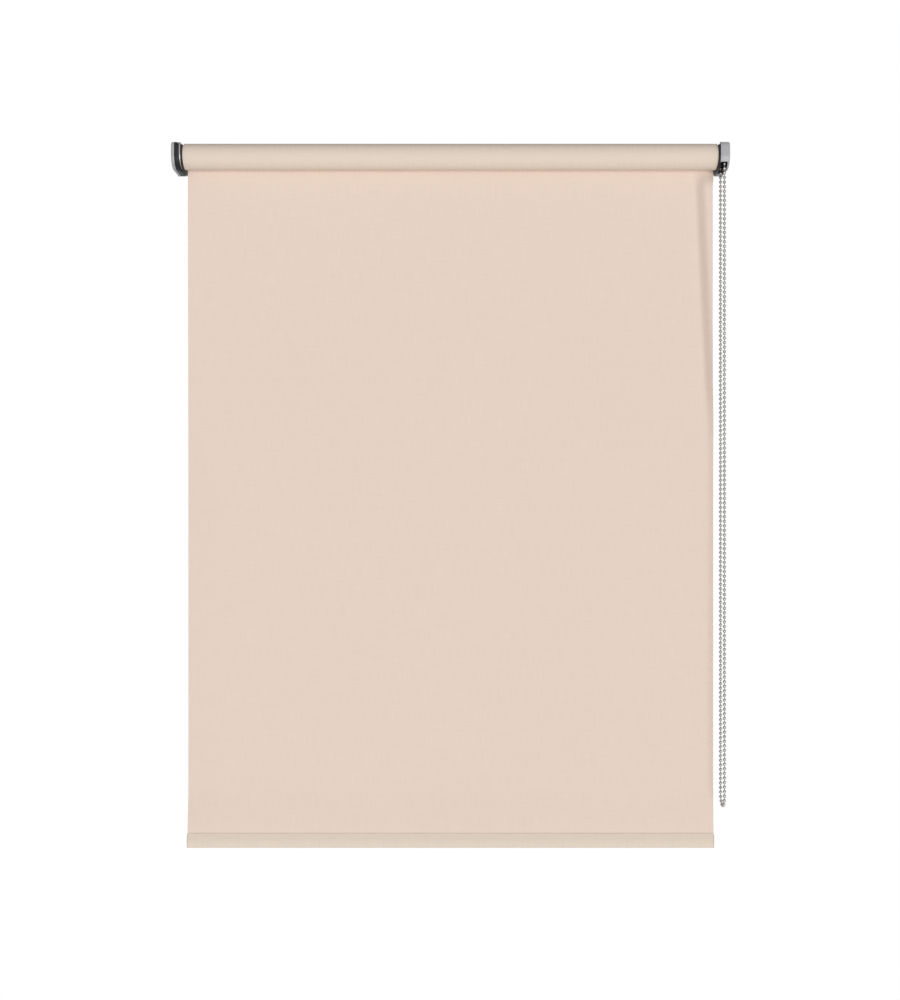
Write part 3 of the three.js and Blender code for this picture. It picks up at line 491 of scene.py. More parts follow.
def close_surface(tree, tint_pattern, tones, grain, roughness, relief, shader_values):
    """Ends a tree: one pattern mixes two tones, and a fine one runs between two roughnesses
    and gives a relief of a strength and depth."""
    tint = add_node(
        tree, "ShaderNodeMix", {MIX_FIRST: tones[0], MIX_SECOND: tones[1]},
        {MIX_SHARE: tint_pattern}, data_type="RGBA",
    )
    gloss = add_node(
        tree, "ShaderNodeMapRange", {"To Min": roughness[0], "To Max": roughness[1]},
        {"Value": grain},
    )
    bump = add_node(
        tree, "ShaderNodeBump", {"Strength": relief[0], "Distance": relief[1]},
        {"Height": grain},
    )
    shader = add_node(
        tree, "ShaderNodeBsdfPrincipled", shader_values,
        {
            "Base Color": tint.outputs[MIX_RESULT],
            "Roughness": gloss.outputs["Result"],
            "Normal": bump.outputs["Normal"],
        },
    )
    add_node(tree, "ShaderNodeOutputMaterial", links={"Surface": shader.outputs["BSDF"]})


def moulded_plastic(name, tone, roughness, grain_size, grain_height, specular=0.5):
    """Injection-moulded plastic: even colour with faint flow, a fine spark-eroded grain and
    a soft sheen."""
    material, tree = new_tree(name)
    place = add_node(tree, "ShaderNodeTexCoord").outputs["Object"]
    flow_scale = 60  # flow marks of some 17 mm
    grain, flow = [
        add_node(
            tree, "ShaderNodeTexNoise", {"Scale": scale, "Detail": detail}, {"Vector": place},
        ).outputs["Fac"]
        for scale, detail in ((1 / grain_size, 2), (flow_scale, 3))
    ]
    close_surface(
        tree, flow, (shade(tone, 0.95), shade(tone, 1.04)), grain,
        (roughness - 0.06, roughness + 0.08), (0.3, grain_height),
        {"IOR": 1.53, "Specular IOR Level": specular},
    )
    return material


def worked_metal(name, tone, roughness, streak_length, streak_width, along):
    """Metal with the fine streaks that drawing, rolling or plating leaves along one way."""
    material, tree = new_tree(name)
    place = add_node(tree, "ShaderNodeTexCoord").outputs["Object"]
    scales = [1 / (streak_length if axis == along else streak_width) for axis in "XYZ"]
    turned = add_node(tree, "ShaderNodeMapping", {"Scale": scales}, {"Vector": place})
    streaks = add_node(
        tree, "ShaderNodeTexNoise", {"Scale": 1, "Detail": 3},
        {"Vector": turned.outputs["Vector"]},
    ).outputs["Fac"]
    close_surface(
        tree, streaks, (shade(tone, 0.88), shade(tone, 1.08)), streaks,
        (roughness - 0.07, roughness + 0.1), (0.15, 0.02 * MM), {"Metallic": 1},
    )
    return material


def make_finish(name, scene):
    """Makes one of the blind's materials from the scene's settings."""
    ends = scene.blind_ends
    if name == "coated_blackout_weave":
        return blackout_cloth(scene.blind_fabric)
    if name == "satin_silver_abs":  # silver-grey covers with a satin moulded face
        return moulded_plastic(
            name, ends.cover_colour, roughness=0.42, grain_size=0.35 * MM,
            grain_height=0.03 * MM,
        )
    if name == "black_abs":  # plates and clutch parts, nearly matt, so that they stay dark
        return moulded_plastic(
            name, ends.plate_colour, roughness=0.55, grain_size=0.4 * MM,
            grain_height=0.03 * MM, specular=0.25,
        )
    if name == "pale_abs":  # hem caps, close to the cloth in colour
        return moulded_plastic(
            name, linear("#D2C8C0"), roughness=0.45, grain_size=0.35 * MM,
            grain_height=0.03 * MM,
        )
    if name == "grey_acetal":  # sliding clutch pieces, smooth and waxy
        return moulded_plastic(
            name, linear("#9A9B9D"), roughness=0.36, grain_size=0.5 * MM,
            grain_height=0.01 * MM,
        )
    if name == "zinc_plated_steel":  # bracket strip, rolled lengthwise, dull grey
        return worked_metal(
            name, linear("#949493"), roughness=0.44, streak_length=9 * MM,
            streak_width=0.5 * MM, along="Y",
        )
    if name == "extruded_aluminium":  # die lines along the tube and bar
        return worked_metal(
            name, linear("#CDCED1"), roughness=0.34, streak_length=60 * MM,
            streak_width=0.4 * MM, along="X",
        )
    if name == "drawn_spring_steel":  # a little dark from its oil
        return worked_metal(
            name, linear("#85868A"), roughness=0.32, streak_length=3 * MM,
            streak_width=0.3 * MM, along="X",
        )
    if name == "nickel_plated_beads":  # bright beads with the soft scratches of use
        return worked_metal(
            name, scene.blind_chain.colour, roughness=0.26, streak_length=1.5 * MM,
            streak_width=0.5 * MM, along="Z",
        )
    raise KeyError(name)


def finish(name):
    """The material of that name, made the first time that it is asked for."""
    return bpy.data.materials.get(name) or make_finish(name, bpy.context.scene)


# Bead chain

def wheel_pitch_radius(chain):
    return chain.bead_pitch * chain.wheel_pockets / (2 * math.pi)


def loop_bottom(chain):
    """Points of the loop's curved bottom, front to rear, with their distances along it."""
    radius = wheel_pitch_radius(chain)
    points = [
        Vector((radius * math.cos(turn), chain.loop_height * math.sin(turn)))
        for turn in spread(math.pi, 2 * math.pi, steps=400)
    ]
    distances = [0.0]
    for before, after in zip(points, points[1:]):
        distances.append(distances[-1] + (after - before).length)
    return points, distances


def chain_route(chain):
    """A function from the distance along the chain to (Y, Z) about the roller's axis. The
    distance starts at the wheel's top and runs down the front strand first."""
    radius = wheel_pitch_radius(chain)
    whole = chain.bead_pitch * chain.bead_count
    wrap = radius * math.pi / 2
    points, distances = loop_bottom(chain)
    strand = (whole - 2 * wrap - distances[-1]) / 2
    rear_start = wrap + strand + distances[-1]

    def place(distance):
        travelled = distance % whole
        from_top = travelled - whole if travelled > whole / 2 else travelled
        if abs(from_top) < wrap:
            turn = from_top / radius
            return Vector((-radius * math.sin(turn), radius * math.cos(turn)))
        if travelled < wrap + strand:
            return Vector((-radius, wrap - travelled))
        if travelled >= rear_start:
            return Vector((radius, travelled - rear_start - strand))
        along = travelled - wrap - strand
        index = max(1, next(i for i, d in enumerate(distances) if d >= along))
        share = (along - distances[index - 1]) / (distances[index] - distances[index - 1])
        point = points[index - 1].lerp(points[index], share)
        return Vector((point.x, point.y - strand))

    return place


def bead_and_link(chain):
    """Vertices and faces of one bead, and of one link that reaches a little into that bead
    and the next. Both lie along +X from the origin."""
    clear_selection()
    bpy.ops.mesh.primitive_uv_sphere_add(
        segments=8, ring_count=6, radius=chain.bead_diameter / 2, rotation=(0, math.pi / 2, 0),
    )
    bead = take_new("bead_pattern")
    clear_selection()
    bpy.ops.mesh.primitive_cylinder_add(
        vertices=5, radius=chain.link_diameter / 2,
        depth=chain.bead_pitch - 0.9 * chain.bead_diameter,
        location=(chain.bead_pitch / 2, 0, 0), rotation=(0, math.pi / 2, 0),
    )
    link = take_new("link_pattern")
    shapes = []
    for pattern in (bead, link):
        corners = [vertex.co.copy() for vertex in pattern.data.vertices]
        shapes.append((corners, [tuple(face.vertices) for face in pattern.data.polygons]))
        bpy.data.objects.remove(pattern, do_unlink=True)
    return shapes


def string_beads(name, chain, first, last):
    """A stretch of the chain as one mesh: beads first to last, joined by links."""
    place = chain_route(chain)
    bead, link = bead_and_link(chain)
    corners = []
    faces = []
    for number in range(first, last + 1):
        here, ahead = [place(step * chain.bead_pitch) for step in (number, number + 1)]
        along = Vector((0, *(ahead - here))).normalized()
        across = Vector((1, 0, 0))
        turn = Matrix((along, across, along.cross(across))).transposed()
        centre = Vector((CHAIN_PLANE, AXIS_Y + here.x, here.y))
        for pattern, outline in (bead,) if number == last else (bead, link):
            start = len(corners)
            corners += [centre + turn @ corner for corner in pattern]
            faces += [[start + index for index in face] for face in outline]
    mesh = bpy.data.meshes.new(name)
    mesh.from_pydata(corners, [], faces)
    piece = add_mesh(name, mesh)
    make_active(piece)
    bpy.ops.object.shade_smooth()
    return piece


class BLIND_OT_bead_chain(bpy.types.Operator):
    """Hang the endless bead chain over its wheel and down in a loop"""

    bl_idname = "blind.bead_chain"
    bl_label = "Bead chain"

    def execute(self, context):
        chain = context.scene.blind_chain
        plating = "nickel_plated_beads"
        over_top = chain.wheel_pockets // 4
        seated = string_beads("chain_over_wheel", chain, -over_top, over_top)
        finish_piece(seated, plating, ROOT, "chain_on_wheel")
        first = over_top + 1
        last = chain.bead_count - over_top - 1
        hanging = string_beads("hanging_bead_chain", chain, first, last)
        finish_piece(hanging, plating, ROOT, "chain_loop")
        route = chain_route(chain)
        for step in range(2 * first, 2 * last + 1):
            y, z = route(step * chain.bead_pitch / 2)
        return {"FINISHED"}


class BLIND_OT_chain_wheel(bpy.types.Operator):
    """Turn the chain wheel and sink a pocket for each bead"""

    bl_idname = "blind.chain_wheel"
    bl_label = "Chain wheel"

    def execute(self, context):
        chain = context.scene.blind_chain
        half = chain.wheel_width / 2
        inner, outer = CHAIN_PLANE - half, CHAIN_PLANE + half
        rim = WHEEL_HIGH.z
        rim_height = 3.4 * MM
        recess_depth = 1.6 * MM
        boss_radius = 6.5 * MM
        wheel = add_rod("pocketed_chain_wheel", rim, inner, outer, sides=96)
        recess = add_rod("recess", rim - rim_height, outer - recess_depth, outer + OVERRUN)
        combine(wheel, [recess], "DIFFERENCE")
        boss = add_rod("boss", boss_radius, CHAIN_PLANE, WHEEL_HIGH.x)
        shaft = add_rod("shaft", SHAFT_RADIUS, WHEEL_LOW.x, CHAIN_PLANE)
        combine(wheel, [boss, shaft], "UNION")
        combine(wheel, wheel_cutters(chain), "DIFFERENCE")
        smooth(wheel)
        finish_piece(wheel, "black_abs", ROLLER, "chain_wheel")
        return {"FINISHED"}


def wheel_cutters(chain):
    """Cutters for the groove that the links lie in, the pilot hole for the screw in the
    shaft's end, and a pocket for each bead."""
    pitch = wheel_pitch_radius(chain)
    groove_radius = 1.3 * MM
    pilot_radius = 1.5 * MM
    pilot_end = WHEEL_LOW.x + 12 * MM
    clear_selection()
    bpy.ops.mesh.primitive_torus_add(
        major_radius=pitch, minor_radius=groove_radius, major_segments=72, minor_segments=12,
        location=(CHAIN_PLANE, *CENTRE), rotation=(0, math.pi / 2, 0),
    )
    cutters = [take_new("link_groove")]
    cutters.append(add_rod("pilot", pilot_radius, WHEEL_LOW.x - OVERRUN, pilot_end, sides=24))
    for turn in spread(0, 2 * math.pi, chain.wheel_pockets)[1:]:
        clear_selection()
        bpy.ops.mesh.primitive_uv_sphere_add(
            segments=20, ring_count=12, radius=chain.bead_diameter / 2 + SEAT_GAP,
            location=(CHAIN_PLANE, AXIS_Y + pitch * math.sin(turn), pitch * math.cos(turn)),
        )
        cutters.append(take_new("bead_pocket"))
    return cutters


# Fabric

FADE = 120 * MM  # height over which the ripples die out at the roll and at the hem
RIPPLES_ACROSS, RIPPLES_DOWN = 9, 1.4  # swells of the noise in a metre
RIPPLE_SLICE = 0.3  # the slice of the noise that the sheet follows
STEP_EXCESS = 0.6  # times height squared by width, what a smooth step adds to its width


def bend_cloth(fabric, x, z):
    """X of a point of the sheet and how far it stands forward. A bend brings the right edge
    forward and in, drifts out towards the edge on the way down and flattens there. The left
    edge leans back more and more over the upper half and comes back above the hem. Slow
    ripples die out at the roll and the hem, and the sheet comes forward to join the hem."""
    reach = fabric.curl_inset + fabric.curl_width / 2
    middle = FABRIC_EDGE - fabric.curl_inset - reach * z / fabric.curl_end
    across = smooth_share((x - middle) / fabric.curl_width + 0.5)
    down = smooth_share((-z - fabric.curl_start) / fabric.curl_rise)
    down *= smooth_share((fabric.curl_flat + z) / (fabric.curl_flat - fabric.curl_fade))
    depth = fabric.curl_depth * down
    pulled = STEP_EXCESS * depth ** 2 / fabric.curl_width
    above_hem = z - PANEL_LOW.z
    join = fabric.hem_join * smooth_share(1 - above_hem / fabric.join_lead)
    calm = smooth_share(-z / FADE) * smooth_share(above_hem / FADE)
    wave = noise.noise(Vector((RIPPLES_ACROSS * x, RIPPLES_DOWN * z, RIPPLE_SLICE)))
    from_left = max(0, 1 - (x + FABRIC_EDGE) / fabric.lean_width)
    slack = smooth_share(z / PANEL_LOW.z * 2) * smooth_share(above_hem / FADE * 2)
    lean = fabric.lean_depth * from_left ** 2 * slack
    return x - pulled * across, depth * across + wave * fabric.ripple * calm - lean + join


class BLIND_OT_hanging_sheet(bpy.types.Operator):
    """Hang the sheet of cloth from the back of the roll down to the hem"""

    bl_idname = "blind.hanging_sheet"
    bl_label = "Hanging sheet"

    def execute(self, context):
        fabric = context.scene.blind_fabric
        middle = AXIS_Y + ROLL_RADIUS - fabric.thickness / 2
        top, bottom = 0, PANEL_LOW.z

        def hang(x, z):
            across, forward = bend_cloth(fabric, x, z)
            return across, middle - forward, z

        rows = [(lambda x, z=z: hang(x, z), -z) for z in spread(top, bottom, steps=160)]
        bent_strip = 1.6 * (fabric.curl_inset + fabric.curl_width / 2)  # has a closer mesh
        flat_edge = FABRIC_EDGE - bent_strip
        columns = spread(-FABRIC_EDGE, flat_edge, steps=60)
        columns += spread(flat_edge, FABRIC_EDGE, steps=24)[1:]
        sheet = cloth("hanging_blackout_sheet", columns, rows, fabric.thickness, True)
        finish_piece(sheet, "coated_blackout_weave", ROOT, "fabric_panel")
        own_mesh(sheet)
        return {"FINISHED"}


class BLIND_OT_wound_fabric(bpy.types.Operator):
    """Wind the rest of the cloth round the tube"""

    bl_idname = "blind.wound_fabric"
    bl_label = "Wound fabric"

    def execute(self, context):
        fabric = context.scene.blind_fabric
        outer = ROLL_RADIUS - fabric.thickness / 2
        inner = TUBE_RADIUS + fabric.thickness / 2 + HAIR / 2
        outline = []
        for share in spread(1, 0, steps=150):
            turn = 2 * math.pi * fabric.turns * (1 - share)
            radius = inner + (outer - inner) * share
            outline.append((AXIS_Y + radius * math.cos(turn), radius * math.sin(turn)))
        columns = spread(-FABRIC_EDGE, FABRIC_EDGE, steps=56)
        roll = cloth("wound_fabric", columns, folded_rows(outline), fabric.thickness, False)
        finish_piece(roll, "coated_blackout_weave", ROLLER, "fabric_roll")
        return {"FINISHED"}


class BLIND_OT_hem(bpy.types.Operator):
    """Fold the hem round the bottom bar and close the bar with its caps"""

    bl_idname = "blind.hem"
    bl_label = "Hem"

    def execute(self, context):
        fabric = context.scene.blind_fabric
        outline = hem_outline(fabric.thickness / 2, fabric.hem_join)
        columns = spread(-FABRIC_EDGE, FABRIC_EDGE, steps=70)
        sleeve = cloth("hem_sleeve", columns, folded_rows(outline), fabric.thickness, False)
        finish_piece(sleeve, "coated_blackout_weave", HEM, "hem_pocket")
        for side, node in ((-1, "hem_cap_left"), (1, "hem_cap_right")):
            cap = hem_cap(node + "_moulded", side)
            finish_piece(cap, "pale_abs", HEM, node)
        return {"FINISHED"}


def hem_outline(half, join):
    """Middle line of the folded cloth as (Y, Z): from the weld down the front, round the
    oval bar and up the back to the weld, which lies forward of the bar's middle."""
    middle_y = (POCKET_LOW.y + POCKET_HIGH.y) / 2
    middle_z = (BAR_LOW.z + BAR_HIGH.z) / 2
    reach_y = (POCKET_HIGH.y - POCKET_LOW.y) / 2 - half
    reach_z = middle_z - POCKET_LOW.z - half
    up = (POCKET_HIGH.z - middle_z) / reach_z
    halves = []
    for forward in (join + half, half - join):
        across = forward / reach_y
        touch = math.atan2(up, across) - math.acos(1 / math.hypot(across, up))
        weld = Vector((forward, POCKET_HIGH.z - middle_z))
        curve = [
            Vector((reach_y * math.cos(turn), reach_z * math.sin(turn)))
            for turn in spread(touch, -math.pi / 2, steps=20)
        ]
        straight = [weld.lerp(curve[0], share) for share in spread(0, 1, steps=4)[:-1]]
        halves.append(straight + curve)
    front, back = halves
    down = [(middle_y - point.x, middle_z + point.y) for point in front]
    return down + [(middle_y + point.x, middle_z + point.y) for point in reversed(back[:-1])]


def hem_cap(name, side):
    """Moulded cap: a thin oval face as thick as the hem, with a plug in the bar."""
    face_inner = side * (FABRIC_EDGE + SEAT_GAP)
    face_outer = side * HEM_CAP_HIGH.x
    cap = add_oval(name, face_inner, face_outer, HEM_CAP_LOW.yz, HEM_CAP_HIGH.yz)
    inset = 1.2 * MM  # the bar's wall and some play
    plug = add_oval(
        name + "_plug", side * HEM_CAP_LOW.x, (face_inner + face_outer) / 2,
        (BAR_LOW.y + inset, BAR_LOW.z + inset), (BAR_HIGH.y - inset, BAR_HIGH.z - inset),
    )
    return soften(combine(cap, [plug], "UNION"), FINE_EDGE)


# Ends

def rounded_end(name, from_x, to_x, low, high, top_radius, bottom_radius):
    """A plate along X in an end's side outline. Low and high are its corners in Y and Z, and
    its two front corners are rounded."""
    plate = add_block(name, (from_x, *low), (to_x, *high))
    for height, radius in ((low[1], bottom_radius), (high[1], top_radius)):
        bevel_edges(
            plate,
            lambda middle, way: (
                abs(way.x) > ALONG and near(middle.y, low[0]) and near(middle.z, height)
            ),
            radius, segments=16,
        )
    return plate


def cover_shell(name, ends, outer_x, inner_x, is_closed):
    """A cover's shell: front wall, bottom wall and top front corner, open towards the
    bracket, behind and on top. A closed one has an outer face, and a frame has none."""
    low, high = (COVER_LOW.y, COVER_LOW.z), (COVER_HIGH.y, COVER_HIGH.z)
    wall = ends.wall
    shell = rounded_end(name, inner_x, outer_x, low, high, ends.top_radius, ends.bottom_radius)
    if is_closed:
        bevel_edges(
            shell,
            lambda middle, way: near(middle.x, outer_x) and not near(middle.y, high[0]),
            ends.edge_radius, segments=5,
        )
    side = 1 if outer_x > inner_x else -1
    start = inner_x - side * OVERRUN
    end = outer_x - side * wall if is_closed else outer_x + side * OVERRUN
    hollow = rounded_end(
        name + "_hollow", start, end, (low[0] + wall, low[1] + wall),
        (high[0] + OVERRUN, high[1] - wall), ends.top_radius - wall, ends.bottom_radius - wall,
    )
    above = add_block(
        name + "_above", (start, low[0] + ends.top_radius, -wall),
        (end, high[0] + OVERRUN, high[1] + OVERRUN),
    )
    return combine(shell, [hollow, above], "DIFFERENCE")


class BLIND_OT_covers(bpy.types.Operator):
    """Mould the silver cover with its chain window, the idler cap and its black frame"""

    bl_idname = "blind.covers"
    bl_label = "Covers"

    def execute(self, context):
        ends = context.scene.blind_ends
        cover = chain_side_cover(ends, context.scene.blind_chain)
        finish_piece(cover, "satin_silver_abs", ROOT, "control_cover")
        cap = cover_shell("idler_side_cap", ends, CAP_LOW.x, CAP_HIGH.x, True)
        soften(cap, MOULDED_EDGE)
        finish_piece(cap, "satin_silver_abs", ROOT, "idler_cap")
        band = idler_side_frame(ends)
        finish_piece(band, "black_abs", ROOT, "idler_cap_frame")
        return {"FINISHED"}


def chain_side_cover(ends, chain):
    """The silver cover, with a window for the strands and room for the end plate's foot."""
    cover = cover_shell("chain_side_cover", ends, COVER_HIGH.x, COVER_LOW.x, True)
    strand_room = 3.2 * MM  # from the rear strand's middle to the window's rear edge
    corner_radius = 1.2 * MM
    edge = GUIDE_HIGH.x + SEAT_GAP
    start = COVER_LOW.x - OVERRUN
    rear = AXIS_Y + wheel_pitch_radius(chain)
    below = COVER_LOW.z - OVERRUN
    window = add_block(
        "chain_window", (start, COVER_LOW.y - OVERRUN, below),
        (edge, rear + strand_room, -ends.window_drop),
    )
    bevel_edges(
        window,
        lambda middle, way: (
            abs(way.y) > ALONG and near(middle.x, edge) and near(middle.z, -ends.window_drop)
        ),
        corner_radius, segments=6,
    )
    foot_room = add_block(
        "foot_room", (start, rear, below),
        (abs(FRAME_HIGH.x), COVER_HIGH.y + OVERRUN, COVER_LOW.z + ends.wall + SEAT_GAP),
    )
    return soften(combine(cover, [window, foot_room], "DIFFERENCE"), MOULDED_EDGE)


def idler_side_frame(ends):
    """The black frame between the idler's bracket and cap, with its top corner chamfered."""
    band = cover_shell("idler_side_frame", ends, FRAME_LOW.x, FRAME_HIGH.x, False)
    tool_side = ends.frame_chamfer * math.sqrt(2)
    clear_selection()
    bpy.ops.mesh.primitive_cube_add(
        size=1, location=(FRAME_HIGH.x, FRAME_LOW.y, FRAME_HIGH.z),
        rotation=(0, math.pi / 4, 0),
    )
    bpy.context.object.scale = (tool_side, 2 * abs(FRAME_LOW.y), tool_side)
    return soften(combine(band, [take_new("frame_chamfer")], "DIFFERENCE"), MOULDED_EDGE)


class BLIND_OT_brackets(bpy.types.Operator):
    """Bend the two steel brackets with their wall and ceiling flanges and drill them"""

    bl_idname = "blind.steel_brackets"
    bl_label = "Steel brackets"

    def execute(self, context):
        ends = context.scene.blind_ends
        for side, node in ((-1, "idler_bracket"), (1, "control_bracket")):
            bracket = bent_bracket(node + "_steel", ends, side)
            finish_piece(bracket, "zinc_plated_steel", ROOT, node)
        return {"FINISHED"}


def peg_rods(name, ends, radius, from_x, to_x):
    """Two rods at the places of an end plate's pegs, above in front and below behind."""
    reach = ends.peg_circle * math.sqrt(0.5)
    places = [(AXIS_Y - reach, reach), (AXIS_Y + reach, -reach)]
    return [add_rod(name, radius, from_x, to_x, place, sides=24) for place in places]


def bent_bracket(name, ends, side):
    """Sheet steel bent twice: a block with its two bends rounded, hollowed to the sheet's
    thickness and trimmed to the flanges and to the side plate's outline."""
    inner = side * BRACKET_LOW.x
    plate_outer = inner + side * ends.sheet
    wall_outer = side * BRACKET_HIGH.x
    ceiling_outer = side * (BRACKET_HIGH.x - ends.wall - SEAT_GAP)
    past = wall_outer + side * OVERRUN
    front, foot, top = OPEN_BRACKET_LOW.y, BRACKET_LOW.z, BRACKET_HIGH.z
    flange_front = front + ends.top_radius + SEAT_GAP
    bracket = add_block(name, (inner, front, foot), (wall_outer, 0, top))
    round_bends(bracket, inner, 0, top, ends.bend_radius)
    hollow = add_block(
        name + "_hollow", (plate_outer, front - OVERRUN, foot - OVERRUN),
        (past, -ends.sheet, top - ends.sheet),
    )
    round_bends(hollow, plate_outer, -ends.sheet, top - ends.sheet, ends.bend_radius - ends.sheet)
    below = top - ends.sheet - HAIR
    beside = plate_outer + side * 0.1 * HAIR  # leaves the side plate's face alone
    combine(bracket, [
        hollow,
        add_block(
            name + "_front_trim", (beside, front - OVERRUN, below),
            (past, flange_front, top + OVERRUN),
        ),
        add_block(
            name + "_side_trim", (ceiling_outer, front - OVERRUN, below),
            (past, -ends.sheet, top + OVERRUN),
        ),
    ], "DIFFERENCE")
    combine(bracket, [bracket_outline(name, ends, side, past)], "INTERSECT")
    start, end = inner - side * OVERRUN, plate_outer + side * OVERRUN
    holes = [add_rod(name + "_boss", BOSS_RADIUS + SEAT_GAP, start, end)]
    holes += peg_rods(name + "_peg", ends, PEG_RADIUS + SEAT_GAP, start, end)
    hole_x = (plate_outer + ceiling_outer) / 2
    margin = 9 * MM  # from a flange's end to the middle of its screw hole
    radius = ends.screw_hole / 2
    for z in (foot + ends.foot_height + SEAT_GAP + margin, top - margin):
        holes.append(add_drill(name + "_screw", radius, (hole_x, 0, z), (math.pi / 2, 0, 0)))
    for y in (flange_front + margin, -margin):
        holes.append(add_drill(name + "_screw", radius, (hole_x, y, top), (0, 0, 0)))
    combine(bracket, holes, "DIFFERENCE")
    tidy_mesh(bracket)
    return soften(bracket, FINE_EDGE)


def round_bends(block, side_x, back_y, top_z, radius):
    """Rounds a block's upright back edge and its top side edge."""
    bevel_edges(
        block,
        lambda middle, way: near(middle.x, side_x) and (
            (abs(way.z) > ALONG and near(middle.y, back_y))
            or (abs(way.y) > ALONG and near(middle.z, top_z))
        ),
        radius, segments=5,
    )


def bracket_outline(name, ends, side, past):
    """Prism along X in a bracket's side view: the side plate, the shoulder under the ceiling
    flange and the strip of the wall flange. On the idler side the plate's front edge is open
    to view. On the control side it lies inside the cover, and one wide curve takes it from
    its top corner back to its lower edge, clear of the chain's window."""
    start = side * BRACKET_LOW.x - side * OVERRUN
    front, foot, top = OPEN_BRACKET_LOW.y, BRACKET_LOW.z, BRACKET_HIGH.z
    flange_front = front + ends.top_radius + SEAT_GAP
    bottom = foot + ends.foot_height + SEAT_GAP
    inset, top_radius, bottom_radius = 0, ends.top_radius, ends.bottom_radius
    if side > 0:
        inset = ends.wall + SEAT_GAP
        top_radius -= inset
        bottom_radius = top - inset - top_radius - bottom - HAIR
    outline = rounded_end(
        name + "_outline", start, past, (front + inset, bottom), (OVERRUN, top - inset),
        top_radius, bottom_radius,
    )
    return combine(outline, [
        add_block(
            name + "_shoulder", (start - side * OVERRUN, flange_front, 0),
            (past + side * OVERRUN, 2 * OVERRUN, top + OVERRUN),
        ),
        add_block(
            name + "_strip", (start - 2 * side * OVERRUN, -ends.sheet, foot - OVERRUN),
            (past + 2 * side * OVERRUN, 3 * OVERRUN, top + 2 * OVERRUN),
        ),
    ], "UNION")


class BLIND_OT_end_plates(bpy.types.Operator):
    """Mould the two black end plates and the block beside the chain's front strand"""

    bl_idname = "blind.end_plates"
    bl_label = "End plates"

    def execute(self, context):
        ends = context.scene.blind_ends
        pieces = {
            "control_hub": end_plate("clutch_hub_moulded", ends, 1, SHAFT_RADIUS),
            "idler_carrier": end_plate("pin_carrier_moulded", ends, -1, PIN_RADIUS),
            "chain_guide": strand_guide(),
        }
        for node, piece in pieces.items():
            finish_piece(piece, "black_abs", ROOT, node)
        return {"FINISHED"}


def end_plate(name, ends, side, axle_radius):
    """Thin plate with a boss and two pegs in the bracket, a foot below its side plate, and a
    bore for the shaft or pin. The control side's also carries the clutch's fixed sleeve."""
    inset = 0.4 * MM  # of the plate's outline within the cover's
    foot_back = 3 * MM
    sleeve_radius = 6.8 * MM
    inner = FABRIC_EDGE + SEAT_GAP
    outer = BRACKET_LOW.x - SEAT_GAP
    seat, seat_end = side * (inner + SEAT_GAP), side * HUB_HIGH.x
    plate = rounded_end(
        name, side * inner, side * outer, (HUB_LOW.y, HUB_LOW.z), (HUB_HIGH.y, HUB_HIGH.z),
        ends.top_radius - inset, ends.bottom_radius - inset,
    )
    parts = [
        add_rod(name + "_boss", BOSS_RADIUS, seat, seat_end),
        add_block(
            name + "_foot", (seat, -ends.foot_front, HUB_LOW.z),
            (seat_end, -foot_back, COVER_LOW.z + ends.foot_height),
        ),
        *peg_rods(name + "_peg", ends, PEG_RADIUS, seat, seat_end),
    ]
    if side > 0:
        parts.append(add_rod(name + "_sleeve", sleeve_radius, HUB_LOW.x, seat))
    combine(plate, parts, "UNION")
    start, end = side * (HUB_LOW.x - OVERRUN), side * (HUB_HIGH.x + OVERRUN)
    bore = add_rod(name + "_bore", axle_radius + SEAT_GAP, start, end)
    return soften(combine(plate, [bore], "DIFFERENCE"), MOULDED_EDGE)


def strand_guide():
    """Block beside the chain's front strand, hollowed to clear the wheel's rim."""
    block_top = -5 * MM  # before the hollow is cut
    rim_clearance = 0.8 * MM
    edge_radius = 0.3 * MM
    guide = add_block("strand_guide_moulded", GUIDE_LOW, (*GUIDE_HIGH.xy, block_top))
    start, end = GUIDE_LOW.x - OVERRUN, GUIDE_HIGH.x + OVERRUN
    rim = add_rod("rim_room", WHEEL_HIGH.z + rim_clearance, start, end, sides=96)
    return soften(combine(guide, [rim], "DIFFERENCE"), edge_radius)


class BLIND_OT_roller_core(bpy.types.Operator):
    """Give the solids inside the roller and the hem their materials, and the pin its spring"""

    bl_idname = "blind.roller_core"
    bl_label = "Roller core"

    def execute(self, context):
        finishes = {
            "extruded_aluminium": ("roller_tube", "bottom_bar"),
            "grey_acetal": ("fabric_spline", "spring_driver"),
            "black_abs": ("idler_plug", "drive_crown"),
            "zinc_plated_steel": ("idler_pin", "driver_screw"),
            "drawn_spring_steel": ("wrap_spring_inner", "wrap_spring_outer"),
        }
        for name, nodes in finishes.items():
            for node in nodes:
                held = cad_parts[node]
                if not held.material_slots:
                    held.data.materials.append(finish(name))
                for place in held.material_slots:
                    place.material = finish(name)
        spring_of_pin()
        return {"FINISHED"}


def spring_of_pin():
    """The pin's return spring, a copy of its solid."""
    spring = add_mesh("pin_return_spring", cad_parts["idler_pin_spring"].data.copy())
    tidy_mesh(spring)
    smooth(spring)
    finish_piece(spring, "drawn_spring_steel", ROLLER, "idler_pin_spring")
    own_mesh(spring)


# Stage

WHITE = (1, 1, 1, 1)
KEY_DIRECTION = Vector((-0.165, 0.938, 0.305))  # to the left, to the wall and upwards


def seen_share(tree, strength):
    """The strength for what the camera, mirrors and glass see, and 0 for all else."""
    path = add_node(tree, "ShaderNodeLightPath").outputs
    seen = path["Is Camera Ray"]
    for ray in ("Is Glossy Ray", "Is Transmission Ray"):
        seen = add_node(
            tree, "ShaderNodeMath", links={0: seen, 1: path[ray]}, operation="MAXIMUM",
        ).outputs["Value"]
    return add_node(
        tree, "ShaderNodeMath", {1: strength}, {0: seen}, operation="MULTIPLY",
    ).outputs["Value"]


